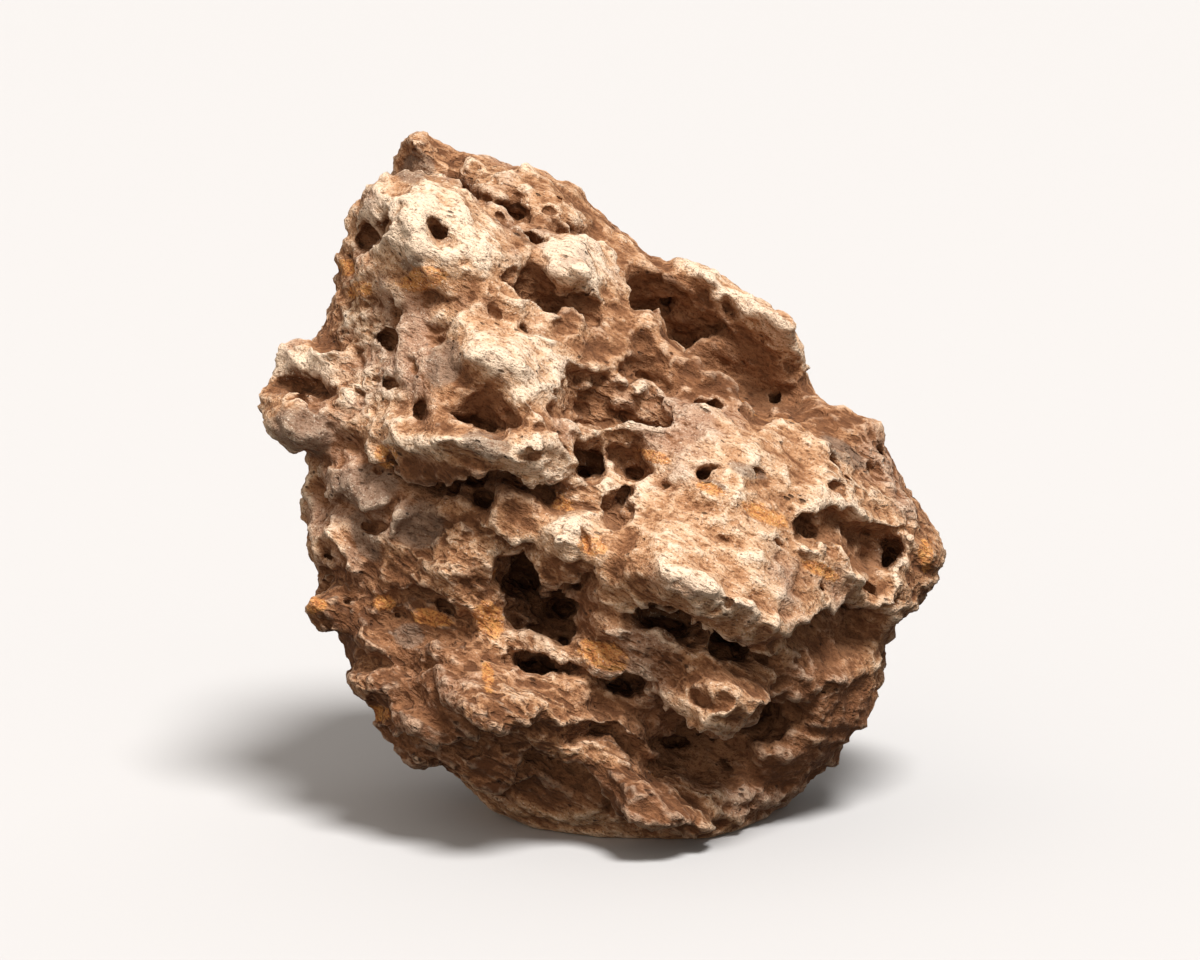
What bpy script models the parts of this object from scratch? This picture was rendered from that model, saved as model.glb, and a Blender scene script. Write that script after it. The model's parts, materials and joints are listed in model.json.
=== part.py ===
"""A dragon stone: one weathered lump of hard clay rock, leaning back on a broken flat foot.

Its face carries stacked ledges, scalloped hollows and deep pits that follow one slanting grain.
The stone is shaped in a drawing frame: x to the right, depth away, up. At the end it is laid back
by a few degrees and cut off flat at its foot, which rests on the floor at z = 0 with the origin
inside it.
"""

import math
import random

import bmesh
import bpy
import numpy as np
from mathutils import Matrix, Vector, noise
from mathutils.bvhtree import BVHTree

# Driving dimensions, in millimetres and degrees. The stone is scaled to metres at the end.
MM = 0.001
LAY_BACK = 10.0
FOOT_DEPTH = 30.0
GRAIN_FALL = 27.0
GRAIN_PITCH = 8.0
RINGS = 86
RING_SIDES = 150
MASS_VOXEL = 1.8
CUTTER_VOXEL = 1.0
FINISH_VOXEL = 1.5
SURFACE_TRIANGLES = 9500
FACE_FAVOUR = 0.3
SEED = 7

# The upright line, x and depth, that the sides are looked at around.
STONE_AXIS = (4.0, 24.0)

# Sides away from the face: azimuth, then the stretch of that side that carries relief.
HIDDEN_SIDES = [(95, 20, 50), (140, -40, 50), (185, -50, 50), (225, -50, 30), (268, -50, -12)]

# The outline of the face, as (x, up) points from the foot to the peak.
LEFT_OUTLINE = [
    (-8, -16), (-24, -4), (-30, 3), (-34, 8), (-38, 13), (-45, 17), (-50, 22), (-55, 25), (-60, 31),
    (-66, 36), (-69, 40), (-68, 46), (-74, 51), (-78, 56), (-80, 62), (-79, 68), (-78, 72),
    (-81, 77), (-83, 84), (-83, 95), (-80, 103), (-80, 120), (-78, 138), (-77, 146), (-74, 151),
    (-73, 158), (-72, 165), (-70, 173), (-64, 179), (-61, 183), (-59, 188), (-56, 192),
    (-52, 198),
]
RIGHT_OUTLINE = [
    (24, -16), (40, -4), (49, 3), (56, 9), (63, 16), (70, 25), (76, 35), (81, 46), (83, 54), (85, 58),
    (91, 62), (93, 70), (95, 74), (95, 79), (92, 84), (91, 88), (88, 94), (85, 100), (83, 106),
    (77, 112), (71, 115), (64, 118), (60, 123), (57, 126), (55, 131), (53, 137), (50, 142),
    (42, 147), (37, 152), (32, 155), (24, 159), (13, 161), (9, 167), (0, 172), (-3, 176),
    (-8, 181), (-16, 184), (-28, 186), (-40, 190), (-48, 194), (-52, 198),
]

# Level by level: up, depth of the outline, depth of the back.
SECTIONS = [
    (-16, 30, 44), (0, 30, 54), (8, 29, 62), (18, 27, 70), (34, 25, 77), (60, 22, 82), (90, 20, 82),
    (120, 20, 77), (150, 24, 69), (175, 31, 60), (190, 37, 52), (198, 38, 42),
]

# Depth of the face before it rounds off to the outline: up, then (x, depth) across.
FACE_DEPTHS = {
    -16: [(-8, 22), (8, 16), (24, 12)],
    0: [(-28, 0), (0, -12), (22, -20), (50, -6)],
    14: [(-42, -30), (-20, -30), (0, -26), (22, -28), (60, -14)],
    28: [(-58, -38), (-30, -42), (0, -34), (25, -32), (68, -18)],
    45: [(-66, -34), (-35, -38), (0, -34), (25, -40), (55, -32), (78, -20)],
    62: [(-74, -38), (-45, -44), (-15, -38), (15, -50), (45, -44), (82, -28)],
    82: [(-78, -36), (-50, -42), (-22, -42), (10, -44), (40, -42), (70, -30), (90, -18)],
    100: [(-78, -30), (-50, -46), (-25, -54), (0, -38), (30, -34), (60, -22), (84, -10)],
    118: [(-82, -16), (-58, -34), (-32, -46), (-5, -30), (20, -20), (45, -8), (66, 4)],
    134: [(-76, -18), (-52, -32), (-25, -33), (0, -20), (20, -2), (40, 6), (55, 14)],
    150: [(-72, -24), (-48, -33), (-22, -24), (0, -12), (20, 10), (40, 16)],
    164: [(-68, -28), (-46, -32), (-20, -12), (0, 8), (10, 16)],
    176: [(-64, -18), (-42, -14), (-20, 8), (-4, 20)],
    187: [(-58, 30), (-44, 27), (-25, 28)],
    198: [(-52, 34)],
}

# Lobes that stand out of the outline: x, depth, up, half sizes across, deep and tall, roll.
LOBES = {
    "left_nub": (-77, 4, 120, 18, 22, 14, -18),
    "peak": (-52, 32, 187, 6, 9, 10, 5),
    "left_knob": (-73, -6, 60, 8, 13, 6, -15),
    "low_left_knob": (-60, -14, 42, 9, 12, 6, 0),
    "prow_tip": (-16, -42, 104, 9, 9, 9, -50),
    "low_left_mass": (-42, -14, 27, 19, 18, 10, -22),
    "low_middle_mass": (-20, -18, 21, 16, 16, 7, -12),
    "low_layer": (-14, -26, 33, 26, 14, 6, -14),
    "bottom_layer": (12, -22, 12, 22, 16, 6, -24),
    "head": (-47, 0, 162, 24, 26, 18, -12),
    "brow_block": (-7, 2, 158, 15, 18, 10, -32),
    "ridge_end": (47, 26, 137, 9, 18, 8, -55),
    "back_shoulder": (22, 62, 122, 34, 16, 18, 24),
    "back_flank": (-44, 60, 96, 27, 20, 22, 14),
    "back_foot": (14, 60, 40, 42, 14, 17, 10),
    "right_back": (60, 50, 74, 22, 24, 17, 8),
    "left_back": (-60, 46, 58, 18, 24, 15, -8),
    "back_crown": (-44, 52, 160, 18, 14, 16, 20),
}

# Swells and dips of the face: x, up, half sizes along and across, roll, rise towards the viewer.
SWELLS = {
    "head": (-47, 167, 25, 14, -12, 9),
    "brow_block": (-6, 157, 15, 10, -32, 8),
    "saddle_plate": (-24, 128, 24, 13, -30, 8),
    "chin_column": (-45, 139, 10, 10, 0, 3),
    "neck": (-62, 125, 9, 16, 0, -6),
    "prow_brow": (-50, 112, 20, 9, -6, 6),
    "trench": (26, 139, 38, 10, -36, -9),
    "upper_ridge": (40, 150, 36, 7, -40, 7),
    "plateau": (42, 96, 48, 15, -25, 6),
    "plateau_foot": (22, 73, 32, 11, -22, 6),
    "facet": (66, 54, 18, 9, 18, -10),
    "slab": (28, 42, 26, 10, -20, 10),
    "cup": (-8, 81, 12, 9, -20, 9),
    "cheek_lobe": (-23, 88, 11, 9, 0, 6),
    "cavern": (-13, 64, 17, 12, -10, -11),
    "left_bowl": (-45, 57, 19, 8, -12, -6),
    "ledge_mass": (-36, 42, 28, 8, -6, 7),
    "under_slab": (26, 20, 26, 9, -14, -12),
    "flank": (-64, 82, 10, 16, 0, 5),
    "twin_bed": (2, 103, 16, 7, -10, -4),
}

# Scoops of the face, which deepen downwards to a sharp lower rim: x, up, half sizes along and
# across, roll, depth.
SCOOPS = {
    "crown_back": (-54, 184, 15, 4, 5, 12),
    "left_eye": (-62, 167, 7, 6, 5, 6),
    "right_eye": (-43, 164, 6, 5, -15, 6),
    "crown": (-32, 178, 12, 4, -28, 7),
    "crown_hole": (-21, 173, 5, 4, -10, 8),
    "brow_groove": (-24, 166, 10, 4, -25, 8),
    "ridge_groove": (-8, 169, 9, 3.5, -30, 7),
    "ridge_nick": (-14, 178, 7, 2.5, -35, 4),
    "brow_scallop": (-9, 147, 16, 7, -25, 14),
    "column_top": (-50, 147, 9, 3, 5, 3),
    "chin": (-46, 139, 8, 5, 10, 6),
    "saddle_pits": (-24, 141, 8, 4, -30, 5),
    "first_basin": (18, 149, 19, 9, -33, 15),
    "first_basin_low": (27, 140, 12, 5, -12, 11),
    "second_basin": (42, 128, 22, 9, -24, 14),
    "nub_slot": (-83, 124, 11, 5, -8, 10),
    "neck_pit": (-56, 125, 6, 4, -20, 6),
    "prow_hollow": (-33, 119, 11, 8, -12, 12),
    "prow_slit": (-48, 117, 3, 7, -8, 7),
    "saddle_scallop": (9, 118, 14, 6, -6, 12),
    "saddle_scallop_left": (-9, 121, 7, 6, 0, 9),
    "crease": (10, 131, 9, 5, -35, 10),
    "twin_left": (-4, 104, 7, 6, -5, 12),
    "twin_right": (9, 104, 8, 5.5, -5, 12),
    "saddle_foot": (5, 93, 8, 5, -30, 8),
    "plateau_dish": (29, 98, 9, 4, -12, 5),
    "plateau_slot": (26, 92, 6, 3, -30, 4),
    "shoulder_slot": (50, 111, 7, 3, -15, 4),
    "right_pit": (74, 101, 5, 5, 0, 5),
    "end_hollow": (65, 81, 17, 5, -24, 10),
    "end_hole": (81, 78, 6, 5.5, 0, 11),
    "end_mouth": (74, 69, 7, 3, -15, 6),
    "cavern_top": (-19, 71, 8, 7, -20, 12),
    "cavern_hole": (-10, 63, 7, 6, 0, 12),
    "cavern_low": (-17, 58, 12, 4, -5, 9),
    "flank_bowl": (-48, 85, 10, 8, 15, 7),
    "flank_pit": (-31, 84, 4, 3, 0, 4),
    "left_bowl": (-45, 57, 17, 7, -10, 7),
    "ledge_pit": (-44, 46, 6, 3, -15, 4),
    "knob_pit": (-60, 61, 5, 4, 20, 4),
    "low_slot": (-16, 47, 12, 4, -16, 8),
    "low_slot_mid": (6, 41, 8, 4, -14, 8),
    "slab_scoop": (14, 50, 12, 4, -25, 6),
}

# Lips of the face, left to right: reach of the lip, drop below it, width above, width below,
# then its (x, up) points.
LIPS = {
    "prow": (6, 20, 14, 8, [(-67, 108), (-55, 104), (-45, 104), (-34, 103), (-28, 99), (-17, 97),
                            (-9, 99), (-5, 102)]),
    "plateau": (6, 16, 12, 6, [(2, 64), (12, 63), (20, 62), (28, 59), (38, 55), (52, 50)]),
    "slab": (5, 18, 9, 9, [(10, 40), (16, 36), (23, 32), (33, 31), (39, 34), (46, 39), (54, 42)]),
    "cup": (5, 11, 8, 6, [(-24, 80), (-17, 76), (-11, 71), (-6, 74), (2, 75)]),
    "low_ledge": (3, 5, 10, 4, [(-66, 33), (-50, 30), (-34, 31), (-22, 32), (-10, 27)]),
    "low_slope": (3, 7, 6, 5, [(-20, 31), (-10, 26), (-4, 20), (1, 12), (12, 7), (30, 3)]),
    "low_layer": (3, 5, 5, 4, [(-44, 37), (-30, 36), (-14, 32), (2, 30), (14, 21)]),
    "second_ledge": (3, 6, 6, 5, [(-48, 24), (-36, 23), (-24, 25), (-14, 24)]),
    "jaw": (2, 2, 7, 5, [(-74, 153), (-62, 148), (-50, 146), (-36, 147), (-26, 150)]),
    "end_wall": (3, 8, 6, 6, [(48, 85), (58, 88), (68, 87), (79, 84), (90, 84)]),
    "facet": (3, 9, 7, 9, [(44, 54), (54, 61), (64, 63), (73, 66), (84, 66)]),
    "low_slots": (3, 8, 5, 5, [(-30, 52), (-18, 49), (-8, 46), (4, 43), (16, 38)]),
    "flank": (3, 7, 6, 6, [(-80, 99), (-72, 94), (-60, 90), (-50, 93)]),
    "left_bowl": (3, 6, 5, 5, [(-70, 64), (-60, 65), (-48, 66), (-36, 64)]),
    "knobs": (3, 7, 5, 5, [(-76, 54), (-66, 50), (-54, 49), (-42, 46), (-30, 43)]),
    "slab_top": (3, 7, 5, 5, [(-4, 56), (8, 53), (20, 52), (32, 48), (46, 44)]),
}

# Sharp crests of the face: rise, half width, then (x, up) points.
CRESTS = {
    "scallop_rim": (8, 5, [(-38, 144), (-27, 147), (-18, 144), (-6, 139), (5, 138)]),
    "basin_rim": (9, 5, [(3, 142), (13, 141), (18, 136), (24, 131), (34, 127), (44, 117)]),
    "upper_ridge": (7, 6, [(15, 159), (28, 155), (40, 148), (50, 140), (58, 128)]),
    "prow_keel": (5, 6, [(-60, 110), (-46, 109), (-32, 107), (-17, 104)]),
    "end_rim": (7, 4, [(50, 80), (62, 78), (68, 73), (74, 66)]),
    "flank_crest": (5, 4, [(-78, 88), (-71, 80), (-66, 72), (-62, 64)]),
    "bowl_rim": (5, 4, [(-67, 61), (-62, 55), (-54, 50), (-44, 48)]),
    "cheek": (5, 5, [(-30, 98), (-30, 88), (-24, 80)]),
    "nub_crest": (4, 5, [(-94, 128), (-84, 131), (-74, 128)]),
    "saddle_edge": (5, 5, [(-10, 135), (-16, 122), (-12, 112), (-8, 102)]),
}

# Hollows bored into the face: x, up, half sizes along, across and deep, roll of the long side,
# pitch of the bore (up is positive).
FACE_HOLLOWS = {
    "left_eye": (-61, 166, 7, 5, 6, 10, -25),
    "right_eye": (-44, 164, 5, 3.5, 5, -20, -25),
    "crown_gap": (-53, 183, 13, 2.4, 8, 5, -40),
    "crown_pit": (-36, 178, 6, 3, 8, -40, -25),
    "crown_hole": (-22, 173, 5, 3.4, 9, 0, -25),
    "brow_groove": (-25, 166, 11, 2.6, 7, -28, -25),
    "brow_pit": (-19, 163, 6, 3, 9, -20, -25),
    "ridge_groove": (-8, 168, 7, 2.4, 6, -30, -25),
    "brow_scallop": (-11, 146, 13, 5.5, 11, -27, -25),
    "first_basin": (15, 148, 14, 7, 13, -28, -25),
    "first_basin_deep": (25, 141, 9, 5, 12, -20, -25),
    "second_basin": (41, 128, 18, 7.5, 12, -26, -25),
    "second_basin_pit": (51, 122, 3, 3, 9, 0, -25),
    "ridge_notch": (37, 145, 5, 2.2, 6, -68, -25),
    "saddle_pit_left": (-29, 142, 3, 2.4, 5, 0, -25),
    "saddle_pit_right": (-21, 139, 4, 2.8, 5, -50, -25),
    "chin_pit": (-45, 138, 5, 3.4, 4, 25, -25),
    "nub_slot": (-83, 121, 9, 2.8, 11, -10, -25),
    "neck_pit": (-56, 123, 5, 2.8, 6, -35, -25),
    "prow_hollow": (-33, 120, 8, 5, 9, -10, -25),
    "prow_throat": (-30, 113, 4, 3.6, 11, -60, -25),
    "prow_slit": (-48, 116, 2, 5.5, 6, -15, -25),
    "saddle_scallop": (6, 118, 13, 5, 10, -12, -25),
    "saddle_scallop_left": (-10, 121, 5, 4, 8, 0, -25),
    "twin_hole_left": (-4, 103, 5.5, 4.5, 12, -10, -25),
    "twin_hole_right": (9, 103, 6, 3.8, 12, -10, -25),
    "crease": (11, 129, 8, 3, 8, -40, -25),
    "under_prow_left": (-44, 98, 15, 2.6, 10, -4, 25),
    "under_prow_right": (-20, 95, 11, 3, 12, -4, 25),
    "under_prow_pit": (-31, 93, 5, 4.4, 12, 30, 10),
    "saddle_foot": (4, 92, 7, 4, 8, -40, -25),
    "plateau_pit": (29, 100, 4.5, 2.4, 6, -5, -25),
    "plateau_slot": (26, 92, 5, 2, 5, -30, -25),
    "shoulder_slot": (50, 110, 6, 1.8, 4, -12, -25),
    "right_pit": (74, 101, 2.4, 2.6, 6, 0, -25),
    "plateau_nick": (33, 83, 4, 1.8, 4, -35, -25),
    "end_hollow": (64, 82, 14, 3.6, 8, -25, -25),
    "end_hole": (81, 78, 5, 4.5, 11, 10, -25),
    "end_mouth": (73, 70, 6, 2.2, 6, -15, -25),
    "cavern_top": (-19, 70, 6.5, 5, 14, -20, -25),
    "cavern_lip": (-6, 71, 6.5, 2.4, 10, 5, 10),
    "cavern_hole": (-10, 62, 4.6, 4, 14, 0, -25),
    "cavern_low": (-17, 58, 11, 2.6, 11, -5, 10),
    "long_slot": (18, 59, 11, 3.6, 13, -14, 15),
    "mid_slot": (35, 53, 6.5, 3, 11, -30, 15),
    "end_slot": (46, 48, 5, 2, 6, -30, 10),
    "low_slot_left": (-16, 46, 10, 2.6, 9, -16, 15),
    "low_slot_mid": (6, 40, 7, 2.6, 10, -14, 15),
    "low_slot_right": (18, 35, 4, 2, 7, 0, 15),
    "ledge_slot": (1, 31, 7, 2.2, 7, -25, 15),
    "flank_pit": (-31, 83, 3, 2.4, 6, 0, -25),
    "flank_notch": (-76, 71, 6, 2.6, 8, 10, -25),
    "knob_notch": (-70, 49, 5, 3, 8, -10, -25),
    "ledge_pit": (-44, 46, 4.5, 2, 6, -20, -25),
    "under_slab": (26, 22, 18, 7, 14, -14, 25),
    "under_slab_right": (48, 29, 12, 6, 14, 20, 25),
    "under_ledge": (-32, 24, 12, 2, 7, 2, 20),
    "under_low_ledge": (-11, 17, 10, 3.4, 14, -25, 25),
}


def clear_scene():
    """Takes away whatever the file held."""
    for item in list(bpy.data.objects):
        bpy.data.objects.remove(item, do_unlink=True)


def apply_modifier(item, kind, **settings):
    """Adds one modifier with its settings and applies it."""
    bpy.ops.object.select_all(action="DESELECT")
    item.select_set(True)
    bpy.context.view_layer.objects.active = item
    modifier = item.modifiers.new(kind.lower(), kind)
    for key, value in settings.items():
        setattr(modifier, key, value)
    bpy.ops.object.modifier_apply(modifier=modifier.name)


def joined(items):
    """One object that holds the meshes of all the items."""
    bpy.ops.object.select_all(action="DESELECT")
    for item in items:
        item.select_set(True)
    bpy.context.view_layer.objects.active = items[0]
    if len(items) > 1:
        bpy.ops.object.join()
    return bpy.context.view_layer.objects.active


def smooth_step(low, high, value):
    """0 below low, 1 above high, an S between them."""
    t = np.clip((value - low) / (high - low), 0, 1)
    return t * t * (3 - 2 * t)


def grain_noise(points, along, across, detail, seed):
    """Noise from -1 to 1, drawn out along the bedding of the stone."""
    pitch = Matrix.Rotation(math.radians(GRAIN_PITCH), 3, "X")
    bedding = Matrix.Rotation(math.radians(GRAIN_FALL), 3, "Y") @ pitch
    turned = points @ np.array(bedding) / np.array([along, along, across]) + seed
    return np.array([noise.fractal(Vector(place), 0.8, 2.0, detail) for place in turned])


# The mass: rings that follow the outline, the face depths and the back.
def face_depth(x, up):
    """Depth of the face at x on a level, between the listed ones."""
    levels = sorted(FACE_DEPTHS)
    rows = [np.interp(x, *zip(*FACE_DEPTHS[level])) for level in levels]
    place = np.interp(up, levels, range(len(levels)))
    low = int(min(place, len(levels) - 2))
    return rows[low] + (rows[low + 1] - rows[low]) * (place - low)


def add_mass():
    """A capped cylinder whose rings are pulled to the levels of the stone."""
    low, high = LEFT_OUTLINE[0][1], LEFT_OUTLINE[-1][1]
    bpy.ops.mesh.primitive_cylinder_add(vertices=RING_SIDES, radius=1, depth=2, end_fill_type="TRIFAN")
    mass = bpy.context.object
    mesh = bmesh.new()
    mesh.from_mesh(mass.data)
    uprights = [e for e in mesh.edges if abs(e.verts[0].co.z - e.verts[1].co.z) > 1]
    bmesh.ops.subdivide_edges(mesh, edges=uprights, cuts=RINGS - 2)
    left_x, left_up = zip(*LEFT_OUTLINE)
    right_x, right_up = zip(*RIGHT_OUTLINE)
    section_up, section_middle, section_back = zip(*SECTIONS)
    for vertex in mesh.verts:
        up = low + (high - low) * (vertex.co.z + 1) / 2
        left, right = np.interp(up, left_up, left_x), np.interp(up, right_up, right_x)
        middle = np.interp(up, section_up, section_middle)
        across = math.copysign(abs(vertex.co.x) ** 0.85, vertex.co.x)
        deep = math.copysign(abs(vertex.co.y) ** 0.75, vertex.co.y)
        x = (left + right) / 2 + across * (right - left) / 2
        if deep < 0:
            depth = middle + deep * (middle - face_depth(x, up))
        else:
            depth = middle + deep * (np.interp(up, section_up, section_back) - middle)
        vertex.co = (x, depth, up)
    mesh.to_mesh(mass.data)
    mesh.free()
    return mass


def add_ellipsoid(place, half_sizes, turn, detail=4, rough=0.0):
    """A closed ellipsoid at a place, turned, its skin roughened by a share of its size."""
    bpy.ops.mesh.primitive_ico_sphere_add(subdivisions=detail, radius=1)
    ball = bpy.context.object
    for vertex in ball.data.vertices:
        swell = 1 + rough * noise.fractal(vertex.co * 1.6 + place * 0.37, 0.8, 2.0, 2)
        vertex.co = place + turn @ Vector(a * b * swell for a, b in zip(vertex.co, half_sizes))
    return ball


def add_lobes():
    """The lobes that stand out of the mass."""
    lobes = []
    for x, depth, up, across, deep, tall, roll in LOBES.values():
        turn = Matrix.Rotation(-math.radians(roll), 3, "Y")
        lobes.append(add_ellipsoid(Vector((x, depth, up)), (across, deep, tall), turn, rough=0.12))
    return lobes


# The relief: swells, lips and crests that push the skin in and out.
def coordinates(body):
    """The vertices of a body as an array."""
    places = np.empty(len(body.data.vertices) * 3)
    body.data.vertices.foreach_get("co", places)
    return places.reshape(-1, 3)


def normals(body):
    """The vertex normals of a body as an array."""
    directions = np.empty(len(body.data.vertices) * 3)
    body.data.vertices.foreach_get("normal", directions)
    return directions.reshape(-1, 3)


def set_coordinates(body, places):
    """Moves the vertices of a body."""
    body.data.vertices.foreach_set("co", places.ravel())
    body.data.update()


def walk(azimuth):
    """The turn to the frame of an eye that walked round the stone by an azimuth."""
    return np.array(Matrix.Rotation(math.radians(azimuth), 3, "Z"))


def seen_from(azimuth, places):
    """Points in the frame of that eye."""
    axis = np.array([*STONE_AXIS, 0])
    return (places - axis) @ walk(azimuth) + axis


def from_path(x, up, path):
    """Length along a path, its full length, and the distance from it (above is positive)."""
    best = np.full(len(x), 1e9)
    along = np.zeros(len(x))
    side = np.ones(len(x))
    run = 0.0
    for (x0, up0), (x1, up1) in zip(path, path[1:]):
        dx, dup = x1 - x0, up1 - up0
        length = math.hypot(dx, dup)
        t = np.clip(((x - x0) * dx + (up - up0) * dup) / length**2, 0, 1)
        away = np.hypot(x - x0 - t * dx, up - up0 - t * dup)
        nearer = away < best
        best = np.where(nearer, away, best)
        along = np.where(nearer, run + t * length, along)
        side = np.where(nearer, np.sign(dx * (up - up0) - dup * (x - x0)), side)
        run += length
    return along, run, best * side


def local(x, up, centre_x, centre_up, roll):
    """Places along and across the long side of a feature."""
    c, s = math.cos(math.radians(roll)), math.sin(math.radians(roll))
    dx, dup = x - centre_x, up - centre_up
    return dx * c + dup * s, dup * c - dx * s


def push(body, azimuth, swells=(), scoops=(), lips=(), crests=()):
    """Moves the skin towards or away from an eye at that azimuth."""
    places = coordinates(body)
    seen = seen_from(azimuth, places)
    x, up = seen[:, 0], seen[:, 2]
    facing = smooth_step(-0.05, 0.45, -(normals(body) @ walk(azimuth))[:, 1])
    wave = 1.6 * grain_noise(places, 9, 9, 2, 3.0)
    lift = np.zeros(len(x))
    sag = np.zeros(len(x))
    for centre_x, centre_up, half_along, half_across, roll, rise in swells:
        along, across = local(x, up, centre_x, centre_up, roll)
        radius = np.hypot(along / half_along, across / half_across) + 0.06 * wave
        lift += rise * (1 - smooth_step(0.25, 1.25, radius))
    for centre_x, centre_up, half_along, half_across, roll, depth in scoops:
        along, across = local(x, up, centre_x, centre_up, roll)
        radius = np.hypot(along / half_along, across / half_across) + 0.07 * wave
        low = smooth_step(-1, 0.6, -across / half_across)
        rim = 0.2 * np.exp(-(((radius - 1.15) / 0.14) ** 2))
        lift += depth * low * (rim - (1 - smooth_step(0.75, 1.05, radius)))
    for reach, drop, above, below, path in lips:
        along, length, off = from_path(x, up, path)
        off = off + wave
        ends = smooth_step(0, 8, along) * smooth_step(0, 8, length - along)
        over = np.exp(-np.maximum(off, 0) / above)
        under = np.exp(-np.maximum(-off, 0) / below)
        lift += ends * np.where(off > 0, reach * over, -drop * under)
        sag += ends * np.where(off > 0, 0.5 * reach * np.exp(-np.maximum(off, 0) / 4), 0)
    for rise, half_width, path in crests:
        along, length, off = from_path(x, up, path)
        ends = smooth_step(0, 8, along) * smooth_step(0, 8, length - along)
        lift += ends * rise * np.exp(-np.abs(off + wave) / half_width)
    seen[:, 1] -= lift * facing
    seen[:, 2] -= sag * facing
    set_coordinates(body, seen_from(-azimuth, seen))


# The hollows: bores that start at the skin and run in.
def add_bore(tree, azimuth, x, up, half_sizes, roll, pitch):
    """A cutter centred where an eye at that azimuth sees the skin at x, up."""
    axis = Vector((*STONE_AXIS, 0))
    heading = Matrix.Rotation(math.radians(azimuth), 3, "Z")
    start = axis + heading @ (Vector((x, -300, up)) - axis)
    hit = tree.ray_cast(start, heading @ Vector((0, 1, 0)))[0]
    if hit is None:
        return []
    turn = Matrix.Rotation(-math.radians(roll), 3, "Y") @ Matrix.Rotation(math.radians(pitch), 3, "X")
    along, across, deep = half_sizes
    return [add_ellipsoid(hit, (along, deep, across), heading @ turn, detail=3, rough=0.35)]


def bore_hollows(body, bores):
    """Cuts bores, each (azimuth, x, up, half sizes, roll, pitch), out of the body."""
    tree = BVHTree.FromObject(body, bpy.context.evaluated_depsgraph_get())
    cutters = [cutter for bore in bores for cutter in add_bore(tree, *bore)]
    cutter = joined(cutters)
    apply_modifier(cutter, "REMESH", mode="VOXEL", voxel_size=CUTTER_VOXEL)
    apply_modifier(body, "BOOLEAN", operation="DIFFERENCE", object=cutter, solver="EXACT")
    bpy.data.objects.remove(cutter, do_unlink=True)


# The sides away from the face, which carry the same kinds of relief at places of their own.
def hidden_relief(azimuth, low_x, high_x, rng):
    """Swells, scoops, lips and bores for a side, along the grain as that side shows it."""
    roll = -GRAIN_FALL * math.cos(math.radians(azimuth))

    def place():
        return rng.uniform(low_x, high_x), rng.uniform(20, 160)

    def size(low, high, flatness):
        along = rng.uniform(low, high)
        return along, along * rng.uniform(0.7, 1.0) / flatness

    def tilt():
        return roll + rng.uniform(-14, 14)

    strength = 0.5 + 0.5 * abs(math.cos(math.radians(azimuth)))
    rises = (-7 * strength, 5 * strength, 7 * strength)
    swells = [(*place(), *size(20, 38, 2), tilt(), rng.choice(rises)) for _ in range(5)]
    scoops = [(*place(), *size(7, 18, 2.2), tilt(), strength * rng.uniform(5, 10)) for _ in range(7)]
    lips = []
    for _ in range(4):
        x, up = place()
        steps = [(-24, 3), (-12, -2), (0, 2), (12, -1), (24, 2)]
        slope = math.tan(math.radians(tilt()))
        path = [(x + dx, up + dx * slope + dup * rng.uniform(-1, 1.5)) for dx, dup in steps]
        lips.append((strength * rng.uniform(2, 4), strength * rng.uniform(6, 11), 7, 6, path))
    bores = []
    for _ in range(8):
        along, across = size(3.5, 8, 2)
        bores.append((azimuth, *place(), (along, across, along * 1.3), tilt(), -20))
    return swells, scoops, lips, bores


def keep_outer_skin(body):
    """Deletes loose bits and sealed bubbles, and keeps the one big skin."""
    mesh = bmesh.new()
    mesh.from_mesh(body.data)
    left = set(mesh.verts)
    skins = []
    while left:
        skin, front = set(), [left.pop()]
        while front:
            vertex = front.pop()
            skin.add(vertex)
            near = [edge.other_vert(vertex) for edge in vertex.link_edges]
            fresh = [other for other in near if other in left]
            left.difference_update(fresh)
            front.extend(fresh)
        skins.append(skin)
    skins.sort(key=len)
    spare = [vertex for skin in skins[:-1] for vertex in skin]
    bmesh.ops.delete(mesh, geom=spare, context="VERTS")
    mesh.to_mesh(body.data)
    mesh.free()


def cut_foot(body):
    """Cuts the stone off flat at z = 0, where it rests on the floor."""
    bpy.ops.mesh.primitive_cube_add(size=1, location=(0, 30, -50))
    cutter = bpy.context.object
    cutter.scale = (400, 400, 100)
    apply_modifier(body, "BOOLEAN", operation="DIFFERENCE", object=cutter, solver="EXACT")
    bpy.data.objects.remove(cutter, do_unlink=True)


def stone_material():
    """Dry brown clay rock."""
    material = bpy.data.materials.new("stone")
    material.use_nodes = True
    surface = material.node_tree.nodes["Principled BSDF"]
    surface.inputs["Base Color"].default_value = (0.36, 0.24, 0.16, 1)
    surface.inputs["Roughness"].default_value = 0.92
    surface.inputs["Metallic"].default_value = 0.0
    return material


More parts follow.
